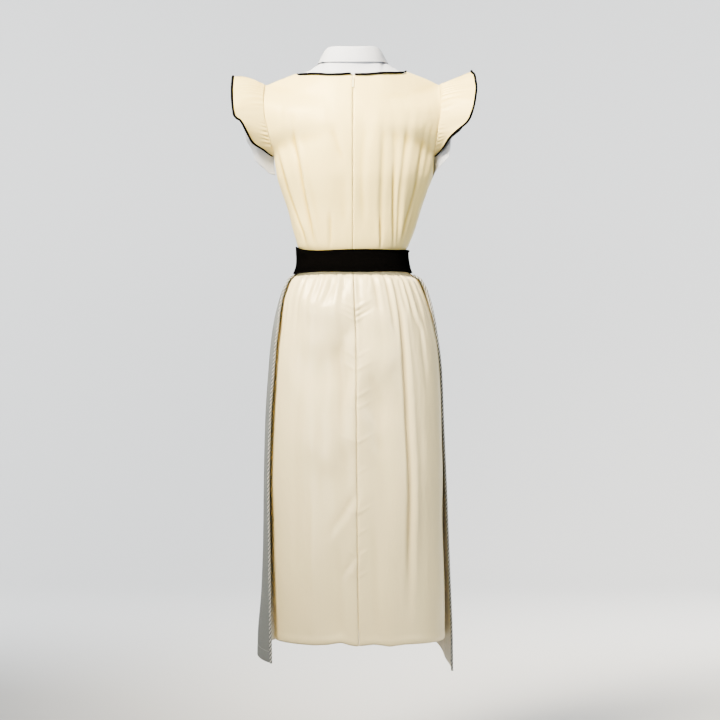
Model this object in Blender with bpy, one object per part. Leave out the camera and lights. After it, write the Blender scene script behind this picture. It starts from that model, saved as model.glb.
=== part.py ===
"""Worn dirndl with blouse, belt and apron, as hollow cloth walls on a general figure.

Metres, +Z up. +Y is the wearer's front and +X the wearer's right. The origin lies
midway between the shoulder tips, where the wearer's shoulders carry the dress.
"""

import math
from collections import namedtuple

import bmesh
import bpy
import numpy as np
from mathutils import Matrix, Vector

# ---------------------------------------------------------------- driving dimensions

CLOTH = 0.0012  # thickness of the dress, blouse and apron walls
BELT_CLOTH = 0.0018  # thickness of the belt's elastic
SEAM = 0.0003  # gap left between pieces that are sewn together
ROUNDNESS = 2.3  # exponent of the figure's cross-section; 2 is an ellipse

WAIST_Z = -0.3660  # seam between bodice and skirt, under the belt
HEM_Z = -1.1460  # lower edge of the skirt
BLOUSE_HEM_Z = -0.2050  # lower edge of the cropped blouse

BELT_TOP_Z = -0.3465
BELT_BOTTOM_Z = -0.3925
BELT_TILT = 0.010  # rise of the belt for each metre to the wearer's right
BELT_HALF_WIDTH = 0.1180
BELT_STANDOFF = 0.0061  # belt's inner face from the cloth of bodice and skirt

APRON_TOP_Z = -0.3860
APRON_HEM_Z = -1.1500  # lower edge of the apron at the centre front
APRON_DROP_LEFT = 0.0470  # how much lower the apron's left corner hangs
APRON_DROP_RIGHT = 0.0640

PIPING_RADIUS = 0.0023
PIPING_GAP = 0.0006  # from a piping's cord to the edge that it is sewn on
APRON_STANDOFF = 0.0031  # from the skirt's outer face to the apron's inner face, at least
BRAID_RADIUS = 0.0026
BRAID_LIFT = 0.0010  # from the apron's inner face out to the braid's middle line
BUTTON_RADIUS = 0.0050
BUTTON_THICKNESS = 0.0022
PLACKET_WIDTH = 0.0220
BUTTON_HEIGHTS = (-0.0290, -0.0500)

SKIRT_GATHERS = 28  # round the whole waist
APRON_GATHERS = 20  # across the apron's top
FLOUNCE_WAVES = 9  # round each armhole
FLOUNCE_FRONT = 0.035  # share by which a flounce's front half reaches out less

# One row for each height of the figure under the bodice and blouse.
Torso = namedtuple("Torso", "z shift half_width back front")
TORSO = [
    Torso(-0.3660, 0.0000, 0.1065, 0.0785, 0.0810),
    Torso(-0.3500, 0.0000, 0.1055, 0.0778, 0.0810),
    Torso(-0.3440, 0.0000, 0.1095, 0.0812, 0.0860),
    Torso(-0.3370, 0.0000, 0.1140, 0.0838, 0.0900),
    Torso(-0.3230, 0.0010, 0.1190, 0.0870, 0.0950),
    Torso(-0.3020, 0.0020, 0.1263, 0.0900, 0.0990),
    Torso(-0.2610, 0.0030, 0.1377, 0.0960, 0.1080),
    Torso(-0.2190, 0.0030, 0.1522, 0.1040, 0.1200),
    Torso(-0.1900, 0.0040, 0.1615, 0.1080, 0.1250),
    Torso(-0.1490, 0.0020, 0.1656, 0.1090, 0.1210),
    Torso(-0.1030, 0.0000, 0.1735, 0.1050, 0.1095),
    Torso(-0.0640, -0.0010, 0.1800, 0.0955, 0.0955),
    Torso(-0.0300, -0.0015, 0.1810, 0.0830, 0.0800),
    Torso(0.0100, -0.0010, 0.1805, 0.0665, 0.0660),
    Torso(0.0450, 0.0000, 0.1800, 0.0560, 0.0560),
]

# Where the cloth turns over the shoulders and meets the neck: height at each distance
# from the centre line, on the back and on the front of the blouse.
Crest = namedtuple("Crest", "x z")
CREST_BACK = [
    Crest(-0.1770, -0.0085),
    Crest(-0.1500, 0.0025),
    Crest(-0.1150, 0.0160),
    Crest(-0.0900, 0.0275),
    Crest(-0.0610, 0.0440),
    Crest(0.0000, 0.0380),
    Crest(0.0610, 0.0440),
    Crest(0.0900, 0.0300),
    Crest(0.1150, 0.0185),
    Crest(0.1500, 0.0050),
    Crest(0.1770, -0.0080),
]
CREST_FRONT = [
    Crest(-0.1770, -0.0085),
    Crest(-0.1500, 0.0025),
    Crest(-0.1150, 0.0160),
    Crest(-0.0900, 0.0275),
    Crest(-0.0610, 0.0440),
    Crest(-0.0400, 0.0080),
    Crest(0.0000, -0.0160),
    Crest(0.0400, 0.0080),
    Crest(0.0610, 0.0440),
    Crest(0.0900, 0.0300),
    Crest(0.1150, 0.0185),
    Crest(0.1500, 0.0050),
    Crest(0.1770, -0.0080),
]
NECK_HALF = 0.0610  # half the width of the blouse's neck hole
NECK_BACK = 0.0540  # the same hole behind and before the shoulder line
NECK_FRONT = 0.0640
SHOULDER_ROUND = 0.0550  # height over which the cloth turns over the shoulder
ARM_HUG = 5.0  # how close to its edge the armhole's widening stays near the underarm

# The dress's neckline: height at each distance from the centre line.
NECKLINE_BACK = [
    Crest(-0.1180, 0.0220),
    Crest(-0.0800, 0.0130),
    Crest(0.0000, 0.0100),
    Crest(0.0800, 0.0150),
    Crest(0.1120, 0.0255),
]
NECKLINE_FRONT = [
    Crest(-0.1180, 0.0220),
    Crest(-0.0880, -0.0300),
    Crest(0.0000, -0.0620),
    Crest(0.0840, -0.0300),
    Crest(0.1120, 0.0255),
]

# How a garment's upper body is cut: how far it lies inside the dress, how far its
# shoulder stands over the blouse's, its lower edge, and the ends and depths of its armhole.
Cut = namedtuple("Cut", "inset over low underarm shoulder arm_back arm_front has_neckline")
DRESS = Cut(0.0, 0.0060, WAIST_Z, -0.1500, -0.0022, 0.0550, 0.0510, True)
BLOUSE = Cut(0.0060, 0.0, BLOUSE_HEM_Z, -0.1430, -0.0080, 0.0500, 0.0460, False)

# Soft folds pressed into the bodice. Positive depth stands out, negative sinks in.
Fold = namedtuple("Fold", "x_top z_top x_low z_low bow width depth")
BODICE_FOLDS = [
    Fold(-0.128, -0.080, -0.080, -0.345, -0.004, 0.007, -0.0028),
    Fold(-0.116, -0.110, -0.072, -0.345, -0.004, 0.012, 0.0018),
    Fold(-0.158, -0.128, -0.094, -0.345, 0.004, 0.007, -0.0040),
    Fold(-0.043, -0.250, -0.045, -0.345, 0.000, 0.006, -0.0016),
    Fold(0.037, -0.050, 0.036, -0.200, 0.000, 0.007, -0.0014),
    Fold(0.058, -0.080, 0.057, -0.300, 0.000, 0.008, -0.0018),
    Fold(0.085, -0.090, 0.078, -0.345, 0.002, 0.007, -0.0030),
    Fold(0.105, -0.080, 0.092, -0.345, 0.003, 0.009, 0.0028),
    Fold(0.136, -0.100, 0.094, -0.345, 0.004, 0.007, -0.0036),
    Fold(0.150, -0.120, 0.104, -0.345, 0.004, 0.009, 0.0026),
]
BODICE_FRONT_FOLDS = [
    Fold(-0.062, -0.185, -0.058, -0.345, 0.0, 0.005, -0.0026),
    Fold(0.062, -0.185, 0.058, -0.345, 0.0, 0.005, -0.0026),
    Fold(-0.128, -0.150, -0.086, -0.345, 0.0, 0.008, -0.0030),
    Fold(0.130, -0.150, 0.088, -0.345, 0.0, 0.008, -0.0030),
    Fold(-0.030, -0.270, -0.032, -0.345, 0.0, 0.006, -0.0014),
    Fold(0.030, -0.260, 0.028, -0.345, 0.0, 0.006, -0.0014),
]

# One row for each height of the skirt.
Skirt = namedtuple("Skirt", "z shift half_width back front gather")
SKIRT = [
    Skirt(-1.1460, 0.0129, 0.1745, 0.1330, 0.1340, 0.0000),
    Skirt(-1.0681, 0.0109, 0.1752, 0.1320, 0.1320, 0.0000),
    Skirt(-0.9439, 0.0093, 0.1750, 0.1300, 0.1290, 0.0001),
    Skirt(-0.8197, 0.0083, 0.1748, 0.1280, 0.1260, 0.0002),
    Skirt(-0.6955, 0.0076, 0.1722, 0.1270, 0.1230, 0.0003),
    Skirt(-0.6127, 0.0068, 0.1692, 0.1260, 0.1210, 0.0005),
    Skirt(-0.5403, 0.0065, 0.1645, 0.1240, 0.1180, 0.0009),
    Skirt(-0.4885, 0.0055, 0.1565, 0.1200, 0.1150, 0.0015),
    Skirt(-0.4471, 0.0032, 0.1475, 0.1140, 0.1110, 0.0024),
    Skirt(-0.4264, 0.0025, 0.1405, 0.1090, 0.1070, 0.0027),
    Skirt(-0.4057, 0.0020, 0.1310, 0.1010, 0.1010, 0.0022),
    Skirt(-0.3965, 0.0008, 0.1180, 0.0900, 0.0920, 0.0008),
    Skirt(-0.3905, 0.0005, 0.1132, 0.0860, 0.0880, 0.0004),
    Skirt(-0.3800, 0.0002, 0.1095, 0.0826, 0.0846, 0.0003),
    Skirt(-0.3660, 0.0000, 0.1065, 0.0785, 0.0810, 0.0003),
]
SKIRT_FOLDS = [
    Fold(0.081, -0.395, 0.100, -1.000, 0.016, 0.011, -0.0068),
    Fold(0.095, -0.400, 0.116, -1.020, 0.018, 0.012, 0.0044),
    Fold(0.098, -0.400, 0.142, -0.620, 0.002, 0.008, -0.0046),
    Fold(0.064, -0.400, 0.072, -0.900, 0.006, 0.014, 0.0036),
    Fold(0.030, -0.400, 0.046, -0.640, 0.002, 0.010, -0.0026),
    Fold(-0.062, -0.400, -0.064, -0.560, 0.000, 0.009, -0.0028),
    Fold(-0.098, -0.400, -0.112, -0.700, -0.004, 0.014, 0.0032),
    Fold(-0.128, -0.480, -0.140, -1.146, -0.004, 0.020, -0.0030),
    Fold(-0.075, -0.620, -0.080, -1.146, 0.004, 0.030, 0.0032),
    Fold(0.060, -0.800, 0.064, -1.146, 0.000, 0.026, -0.0028),
]
SKIRT_FRONT_FOLDS = [
    Fold(-0.100, -0.400, -0.118, -1.146, 0.0, 0.014, -0.0050),
    Fold(-0.045, -0.400, -0.052, -1.146, 0.0, 0.016, -0.0042),
    Fold(0.020, -0.400, 0.026, -1.146, 0.0, 0.016, -0.0048),
    Fold(0.085, -0.400, 0.100, -1.146, 0.0, 0.014, -0.0044),
]

# One row for each height of the apron: how far it reaches to each side and to the
# front, how far past the wearer's sides its edges go, and how deep its gathers are.
Apron = namedtuple("Apron", "z left right front wrap_left wrap_right gather")
APRON = [
    Apron(-1.2150, -0.1990, 0.2035, 0.1520, 27.0, -1.0, 0.0000),
    Apron(-1.1400, -0.1975, 0.2025, 0.1500, 27.0, -1.0, 0.0000),
    Apron(-1.0470, -0.1905, 0.1990, 0.1460, 25.0, -1.0, 0.0001),
    Apron(-0.9440, -0.1873, 0.1950, 0.1430, 23.0, -1.0, 0.0002),
    Apron(-0.8200, -0.1860, 0.1905, 0.1400, 22.0, -1.0, 0.0003),
    Apron(-0.6955, -0.1828, 0.1850, 0.1370, 21.0, 0.0, 0.0004),
    Apron(-0.5982, -0.1762, 0.1810, 0.1330, 20.0, 2.0, 0.0007),
    Apron(-0.5154, -0.1680, 0.1715, 0.1280, 15.0, 5.0, 0.0012),
    Apron(-0.4492, -0.1535, 0.1580, 0.1215, 8.0, 6.0, 0.0022),
    Apron(-0.4057, -0.1350, 0.1390, 0.1085, 5.0, 6.0, 0.0018),
    Apron(-0.3965, -0.1205, 0.1230, 0.0935, 4.0, 5.0, 0.0005),
    Apron(-0.3900, -0.1125, 0.1135, 0.0880, 4.0, 5.0, 0.0002),
    Apron(-0.3800, -0.1090, 0.1090, 0.0845, 4.0, 5.0, 0.0002),
]
APRON_FOLDS = [
    Fold(-0.120, -0.400, -0.150, -1.215, 0.0, 0.018, -0.0050),
    Fold(-0.078, -0.400, -0.096, -1.215, 0.0, 0.020, 0.0046),
    Fold(-0.040, -0.400, -0.044, -1.215, 0.0, 0.018, -0.0050),
    Fold(0.006, -0.400, 0.004, -0.900, 0.0, 0.018, 0.0034),
    Fold(0.042, -0.400, 0.058, -1.215, 0.0, 0.018, -0.0052),
    Fold(0.080, -0.400, 0.108, -1.215, 0.0, 0.020, 0.0044),
    Fold(0.118, -0.400, 0.156, -1.215, 0.0, 0.018, -0.0048),
]

# Outer edge of a flounce at each turn round the armhole, from underarm (0) over the
# shoulder (180). "aft" is its distance behind, or before, the line of the shoulders,
# and "lift" how far the middle of the strip stands above the straight line.
Edge = namedtuple("Edge", "turn x aft z lift")
FLOUNCE_LEFT = [
    Edge(8, -0.1672, 0.0100, -0.1482, 0.0005),
    Edge(22, -0.1822, 0.0285, -0.1388, 0.0020),
    Edge(40, -0.2048, 0.0500, -0.1228, 0.0040),
    Edge(55, -0.2166, 0.0650, -0.1050, 0.0050),
    Edge(75, -0.2298, 0.0770, -0.0822, 0.0060),
    Edge(90, -0.2378, 0.0800, -0.0772, 0.0070),
    Edge(97, -0.2412, 0.0790, -0.0725, 0.0075),
    Edge(110, -0.2430, 0.0740, -0.0590, 0.0080),
    Edge(130, -0.2461, 0.0560, -0.0290, 0.0080),
    Edge(155, -0.2468, 0.0300, -0.0031, 0.0080),
    Edge(180, -0.2466, 0.0000, 0.0163, 0.0080),
]
FLOUNCE_RIGHT = [
    Edge(8, 0.1708, 0.0100, -0.1482, 0.0005),
    Edge(25, 0.1815, 0.0300, -0.1366, 0.0020),
    Edge(45, 0.1970, 0.0530, -0.1172, 0.0040),
    Edge(65, 0.2192, 0.0700, -0.0968, 0.0050),
    Edge(85, 0.2368, 0.0790, -0.0795, 0.0060),
    Edge(105, 0.2471, 0.0760, -0.0455, 0.0070),
    Edge(130, 0.2514, 0.0560, -0.0145, 0.0040),
    Edge(155, 0.2500, 0.0290, 0.0080, 0.0020),
    Edge(180, 0.2443, 0.0000, 0.0267, 0.0000),
]
UNDER_LEFT = [
    Edge(0, -0.1612, 0.0000, -0.1870, 0.0130),
    Edge(10, -0.1732, 0.0080, -0.1848, 0.0180),
    Edge(22, -0.1880, 0.0170, -0.1745, 0.0190),
    Edge(33, -0.1992, 0.0240, -0.1638, 0.0170),
    Edge(42, -0.2058, 0.0290, -0.1502, 0.0120),
    Edge(50, -0.2090, 0.0340, -0.1370, 0.0100),
    Edge(60, -0.2160, 0.0400, -0.1270, 0.0080),
    Edge(72, -0.2215, 0.0450, -0.1150, 0.0060),
    Edge(85, -0.2240, 0.0480, -0.0990, 0.0060),
    Edge(120, -0.2300, 0.0430, -0.0540, 0.0060),
    Edge(150, -0.2310, 0.0230, -0.0240, 0.0010),
    Edge(180, -0.2300, 0.0000, -0.0080, 0.0000),
]
UNDER_RIGHT = [
    Edge(0, 0.1660, 0.0000, -0.1930, 0.0130),
    Edge(10, 0.1725, 0.0080, -0.1850, 0.0190),
    Edge(22, 0.1790, 0.0160, -0.1740, 0.0220),
    Edge(32, 0.1880, 0.0230, -0.1620, 0.0210),
    Edge(42, 0.1980, 0.0300, -0.1505, 0.0120),
    Edge(52, 0.2000, 0.0350, -0.1380, 0.0090),
    Edge(65, 0.2010, 0.0400, -0.1230, 0.0060),
    Edge(85, 0.2120, 0.0460, -0.1000, 0.0060),
    Edge(120, 0.2290, 0.0430, -0.0560, 0.0060),
    Edge(150, 0.2330, 0.0230, -0.0150, 0.0010),
    Edge(180, 0.2300, 0.0000, -0.0010, 0.0000),
]

# The collar at each turn round the neck, from the centre back (0) to the front (180).
Collar = namedtuple("Collar", "turn fold_z fall_z fall_half fall_depth")
COLLAR = [
    Collar(0, 0.0697, 0.0420, 0.0700, 0.0625),
    Collar(45, 0.0717, 0.0435, 0.0700, 0.0625),
    Collar(75, 0.0712, 0.0455, 0.0710, 0.0650),
    Collar(100, 0.0640, 0.0430, 0.0735, 0.0750),
    Collar(135, 0.0400, 0.0080, 0.0780, 0.0960),
    Collar(160, 0.0180, -0.0290, 0.0790, 0.1010),
    Collar(176, 0.0110, -0.0470, 0.0790, 0.1060),
]
COLLAR_SPREAD = 0.13  # share of the turn by which the collar's points draw apart
COLLAR_FOLD_HALF = 0.0550
COLLAR_FOLD_DEPTH = 0.0510
STAND_TOP = 0.95  # share of the way up to the fold that the stand reaches
COLLAR_GAP = 0.0009  # from the stand's lower edge to the blouse's neck edge
STAND_INSET = 0.0017  # how far the collar's stand lies inside the line of its fold

ZIP_Z = 0.0020  # height of the zip's slider, just under the neckline
ZIP_GAP = 0.0005  # from the slider to the cloth
SLIDER_WIDTH = 0.0046
SLIDER_LENGTH = 0.0080
SLIDER_THICKNESS = 0.0014
LOOP_WIDTH = 0.0012  # the slider's loop, which holds the pull tab's crossbar
LOOP_CLEAR = 0.0010  # from the crossbar's middle to the loop's inside
LOOP_REACH = 0.0017  # from the crossbar's middle to the loop's outside
PIVOT_STANDOFF = 0.0011  # crossbar's middle from the slider's face
TAB_LENGTH = 0.0220
TAB_WIDTH = 0.0044
TAB_THICKNESS = 0.0010
TAB_PLAY = 0.0004  # beside the loop, in the tab's window
WINDOW_LENGTH = 0.0034

# ---------------------------------------------------------------------- colours

CREAM = (0.905, 0.845, 0.700)
WHITE = (0.880, 0.875, 0.860)
BLACK = (0.010, 0.010, 0.010)
GREY = (0.330, 0.335, 0.310)
BRAID_GREY = (0.300, 0.300, 0.290)
PALE_YELLOW = (0.880, 0.810, 0.560)
PEARL = (0.800, 0.790, 0.760)


# ------------------------------------------------------------------------ helpers


def smooth(rows, column, at):
    """Value of a table's column at any place in it, on a curve that never overshoots."""
    x = np.array([row[0] for row in rows], float)
    y = np.array([getattr(row, column) for row in rows], float)
    step = np.diff(x)
    rise = np.diff(y) / step
    bend = np.zeros_like(y)
    before = rise[:-1]
    after = rise[1:]
    same = before * after > 0
    total = np.where(same, before + after, 1.0)
    bend[1:-1] = np.where(same, 2 * before * after / total, 0.0)
    bend[0] = rise[0]
    bend[-1] = rise[-1]
    at = np.clip(at, x[0], x[-1])
    i = np.clip(np.searchsorted(x, at, side="right") - 1, 0, len(step) - 1)
    t = (at - x[i]) / step[i]
    value = y[i] * (1 + 2 * t) * (1 - t) ** 2 + y[i + 1] * t * t * (3 - 2 * t)
    return value + step[i] * t * (1 - t) * (bend[i] * (1 - t) - bend[i + 1] * t)


def ease(low, high, value):
    """0 below low, 1 above high, and a soft step between."""
    t = np.clip((value - low) / (high - low), 0.0, 1.0)
    return t * t * (3 - 2 * t)


def power(value, exponent):
    """A power that keeps the sign of what it is given."""
    return np.sign(value) * np.abs(value) ** exponent


def fold_relief(folds, across, half_width, z):
    """How far the folds move the cloth out, at a place given as a share of the width."""
    total = np.zeros(np.broadcast(across, half_width, z).shape)
    place = across * half_width
    for fold in folds:
        along = (fold.z_top - z) / (fold.z_top - fold.z_low)
        middle = fold.x_top + (fold.x_low - fold.x_top) * along
        middle = middle + fold.bow * 4 * along * (1 - along)
        fade = ease(-0.02, 0.25, along) * ease(-0.02, 0.12, 1.1 - along)
        slope = np.maximum(np.sqrt(np.maximum(1 - across**2, 0.0)), 0.45)
        off = (place - middle) / (fold.width * slope)
        total = total + fold.depth * fade * np.exp(-off * off)
    return total


def push_out(x, y, centre_x, amount):
    """Move a point of a ring out from the ring's centre."""
    reach = np.maximum(np.hypot(x - centre_x, y), 1e-6)
    return x + (x - centre_x) * amount / reach, y + y * amount / reach


# --------------------------------------------------------------- cloth surfaces


def upper_body(cut, turn, level, lift=0.0):
    """A point of the bodice or blouse.

    turn is 0 at the centre back, 90 at the wearer's right side and 180 at the front.
    level runs from 0 at the lower edge to 1 at the underarm and 2 at the top.
    """
    turn = np.radians(turn)
    turn, level = np.broadcast_arrays(turn, level)
    is_front = np.cos(turn) < 0
    round_power = 2 / ROUNDNESS
    across = power(np.sin(turn), round_power)
    below = np.clip(level, 0.0, 1.0)
    angle = math.pi * np.clip(level - 1.0, 0.0, 1.0)
    middle_z = (cut.underarm + cut.shoulder) / 2
    half_z = (cut.shoulder - cut.underarm) / 2
    edge_z = np.where(
        level < 1,
        cut.low + (cut.underarm - cut.low) * below,
        middle_z - half_z * np.cos(angle),
    )
    spread = np.clip((edge_z - cut.underarm) / (2 * half_z), 0.0, 1.0)
    half_width = smooth(TORSO, "half_width", edge_z) - cut.inset
    top_x = across * half_width
    crest_front = smooth(CREST_FRONT, "z", top_x) + cut.over
    crest_back = smooth(CREST_BACK, "z", top_x) + cut.over
    crest_z = np.where(is_front, crest_front, crest_back)
    top_z = crest_z
    if cut.has_neckline:
        inside_front = np.where(
            np.abs(top_x) < 0.118, smooth(NECKLINE_FRONT, "z", top_x), crest_front
        )
        inside_back = np.where(
            np.abs(top_x) < 0.118, smooth(NECKLINE_BACK, "z", top_x), crest_back
        )
        top_z = np.minimum(crest_z, np.where(is_front, inside_front, inside_back))
    z = edge_z + (top_z - cut.shoulder) * spread

    depth = np.where(is_front, smooth(TORSO, "front", z), smooth(TORSO, "back", z))
    depth = depth - cut.inset
    arm_share = np.sqrt(np.maximum(1 - ((z - middle_z) / half_z) ** 2, 0.0))
    arm = np.where(is_front, cut.arm_front, cut.arm_back) * arm_share * (level > 1)
    closing = np.abs(np.cos(turn)) ** round_power
    open_shape = 1 - np.abs(across) ** 2.6
    opened = ease(DRESS.underarm - 0.045, DRESS.underarm + 0.035, edge_z)
    shape = closing + (open_shape - closing) * opened
    arm_weight = np.maximum(1 - shape, 0.0) ** (1 + ARM_HUG * (1 - arm_share))
    base = depth * shape + arm * arm_weight

    neck = np.where(is_front, NECK_FRONT, NECK_BACK) + cut.over
    top_y = neck * np.sqrt(np.maximum(1 - (top_x / (NECK_HALF + cut.over)) ** 2, 0.0))
    fall = np.clip((crest_z - z) / SHOULDER_ROUND, 0.0, 1.0)
    turned = np.sqrt(np.maximum(1 - (1 - fall) ** 2, 0.0))
    y = top_y + (base - top_y) * turned
    y = np.where(is_front, y, -y)
    x = top_x + smooth(TORSO, "shift", edge_z) * np.abs(across)

    relief = np.where(
        is_front,
        fold_relief(BODICE_FRONT_FOLDS, across, half_width, z),
        fold_relief(BODICE_FOLDS, across, half_width, z),
    )
    if cut.inset:
        relief = relief * 0.0
    x, y = push_out(x, y, 0.0, relief + lift)
    return np.stack([x, y, z], axis=-1)


def gather_wave(turn, count):
    """Crests of unequal width, -1 to 1, going round as turn goes from 0 to 360."""
    t = np.radians(turn)
    return np.cos(count * t + 0.8 * np.sin(3 * t + 1.0) + 0.5 * np.sin(7 * t + 2.0))


def skirt(turn, z, lift=0.0):
    """A point of the skirt, with turn as on the bodice."""
    angle = np.radians(turn)
    angle, z = np.broadcast_arrays(angle, z)
    is_front = np.cos(angle) < 0
    round_power = 2 / ROUNDNESS
    across = power(np.sin(angle), round_power)
    half_width = smooth(SKIRT, "half_width", z)
    depth = np.where(is_front, smooth(SKIRT, "front", z), smooth(SKIRT, "back", z))
    x = across * half_width
    y = depth * power(-np.cos(angle), round_power)
    relief = smooth(SKIRT, "gather", z) * (gather_wave(turn, SKIRT_GATHERS) - 1)
    relief = relief + np.where(
        is_front,
        fold_relief(SKIRT_FRONT_FOLDS, across, half_width, z),
        fold_relief(SKIRT_FOLDS, across, half_width, z),
    )
    x, y = push_out(x, y, 0.0, relief + lift)
    return np.stack([x + smooth(SKIRT, "shift", z), y, z + 0 * x], axis=-1)


def apron(side, drop, lift=0.0):
    """A point of the apron: side from -1 at its left edge to 1 at its right edge."""
    side, drop = np.broadcast_arrays(side, drop)
    corner = np.abs(side) ** 2.5
    hem = APRON_HEM_Z - corner * np.where(side < 0, APRON_DROP_LEFT, APRON_DROP_RIGHT)
    z = APRON_TOP_Z + (hem - APRON_TOP_Z) * drop
    wrap = np.where(side < 0, smooth(APRON, "wrap_left", z), smooth(APRON, "wrap_right", z))
    angle = np.radians(side * (90 + wrap))
    round_power = 2 / ROUNDNESS
    across = power(np.sin(angle), round_power)
    shift = smooth(SKIRT, "shift", z)
    reach = np.where(side < 0, shift - smooth(APRON, "left", z), smooth(APRON, "right", z) - shift)
    reach = np.maximum(reach, smooth(SKIRT, "half_width", z) + APRON_STANDOFF)
    front = np.maximum(smooth(APRON, "front", z), smooth(SKIRT, "front", z) + APRON_STANDOFF)
    back = smooth(SKIRT, "back", z) + front - smooth(SKIRT, "front", z)
    x = across * reach
    y = power(np.cos(angle), round_power) * np.where(np.cos(angle) < 0, back, front)
    relief = smooth(APRON, "gather", z) * (gather_wave(side * 180, APRON_GATHERS) - 1)
    folds = fold_relief(APRON_FOLDS, across, reach, z)
    calm = 1 - ease(0.80, 1.0, np.abs(side))
    x, y = push_out(x, y, 0.0, relief + folds * calm + lift)
    return np.stack([x + shift, y, z + 0 * x], axis=-1)


def armhole(cut, side, turn):
    """A point of an armhole's edge; turn is 0 at the underarm and 180 on the shoulder."""
    turn = np.asarray(turn, float)
    level = 1 + np.where(turn <= 180, turn, 360 - turn) / 180
    body_turn = np.where(turn <= 180, 90 - 1e-4, 90 + 1e-4) * side
    return upper_body(cut, body_turn, level)


def flounce(cut, rows, side, waves, ripple, turn, width):
    """A point of a flounce: width is 0 at the armhole and 1 at the outer edge."""
    turn, width = np.broadcast_arrays(turn, width)
    seam = armhole(cut, side, turn)
    half = np.where(turn <= 180, turn, 360 - turn)
    before = np.where(turn <= 180, -1.0, 0.92)
    narrower = 1 - FLOUNCE_FRONT * np.sin(np.pi * np.clip(turn / 180 - 1, 0.0, 1.0))
    edge = np.stack(
        [narrower * smooth(rows, "x", half), before * smooth(rows, "aft", half), smooth(rows, "z", half)],
        axis=-1,
    )
    span = edge - seam
    length = np.linalg.norm(span, axis=-1, keepdims=True)
    start = np.minimum((SEAM + 0.0002) / np.maximum(length, 1e-5), 0.3)
    s = start + (1 - start) * width[..., None]
    lift = smooth(rows, "lift", half)[..., None]
    out = np.array([0.55 * side, 0.0, 0.85])
    point = seam + span * s + out * lift * 4 * s * (1 - s)
    sway = np.radians(waves * turn) + 0.9 * np.sin(np.radians(2 * turn)) + 0.6 * side
    across_strip = np.stack([0 * half, np.sin(np.radians(turn)), -np.cos(np.radians(turn))], axis=-1)
    reach = np.clip(length / 0.06, 0.0, 1.0)
    return point + across_strip * np.cos(sway)[..., None] * ripple * reach * s**1.3


def collar_point(turn, part, side_lift=0.0):
    """A point of the collar: part is 0 at the neck seam, 1 at the fold, 2 at the fall."""
    turn, part = np.broadcast_arrays(np.asarray(turn, float), np.asarray(part, float))
    half_turn = np.abs(turn)
    angle = np.radians(turn)
    rise = np.clip(part, 0.0, 1.0)
    fall = np.clip(part - 1.0, 0.0, 1.0)
    half = NECK_HALF + (COLLAR_FOLD_HALF - NECK_HALF) * rise
    neck = np.where(half_turn < 90, NECK_BACK, NECK_FRONT)
    depth = neck + (COLLAR_FOLD_DEPTH - neck) * rise
    fold_z = smooth(COLLAR, "fold_z", half_turn)
    edge_x = NECK_HALF * np.sin(angle)
    edge_back = smooth(CREST_BACK, "z", edge_x)
    edge_z = np.where(half_turn < 90, edge_back, smooth(CREST_FRONT, "z", edge_x))
    z = (edge_z + COLLAR_GAP) * (1 - rise) + fold_z * rise
    half = half + (smooth(COLLAR, "fall_half", half_turn) - COLLAR_FOLD_HALF) * fall**0.8
    depth = depth + (smooth(COLLAR, "fall_depth", half_turn) - COLLAR_FOLD_DEPTH) * fall**0.8
    z = z + (smooth(COLLAR, "fall_z", half_turn) - fold_z) * fall**1.15
    spread = 1 - COLLAR_SPREAD * fall * ease(120, 176, half_turn)
    x = (half + side_lift) * np.sin(angle * spread)
    y = -(depth + side_lift) * np.cos(angle * spread)
    return np.stack([x, y, z], axis=-1)


# ------------------------------------------------------------------ mesh building

for old in list(bpy.data.objects):
    bpy.data.objects.remove(old, do_unlink=True)

garment = bpy.data.collections.new("dirndl")
bpy.context.scene.collection.children.link(garment)


def material(name, colour, roughness, metallic=0.0):
    made = bpy.data.materials.get(name)
    if made is None:
        made = bpy.data.materials.new(name)
        made.use_nodes = True
        shader = made.node_tree.nodes["Principled BSDF"]
        shader.inputs["Base Color"].default_value = (*colour, 1.0)
        shader.inputs["Roughness"].default_value = roughness
        shader.inputs["Metallic"].default_value = metallic
    return made


def add_mesh(name, points, faces, finish):
    """One closed mesh object in the garment's collection, its faces pointing out."""
    mesh = bpy.data.meshes.new(name)
    mesh.from_pydata([tuple(point) for point in points], [], faces)
    work = bmesh.new()
    work.from_mesh(mesh)
    bmesh.ops.recalc_face_normals(work, faces=work.faces)
    work.to_mesh(mesh)
    work.free()
    mesh.materials.append(finish)
    mesh.shade_smooth()
    made = bpy.data.objects.new(name, mesh)
    garment.objects.link(made)
    return made


def grid_normals(surface, columns, rows):
    """Unit normals of a surface, measured close round each point."""
    near = 1e-3
    u_low = np.where(columns - near < columns.min(), columns, columns - near)
    u_high = np.where(columns + near > columns.max(), columns, columns + near)
    v_low = np.where(rows - near < rows.min(), rows, rows - near)
    v_high = np.where(rows + near > rows.max(), rows, rows + near)
    along = surface(u_high, rows) - surface(u_low, rows)
    down = surface(columns, v_high) - surface(columns, v_low)
    normal = np.cross(along, down)
    return normal / np.maximum(np.linalg.norm(normal, axis=-1, keepdims=True), 1e-12)


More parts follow.
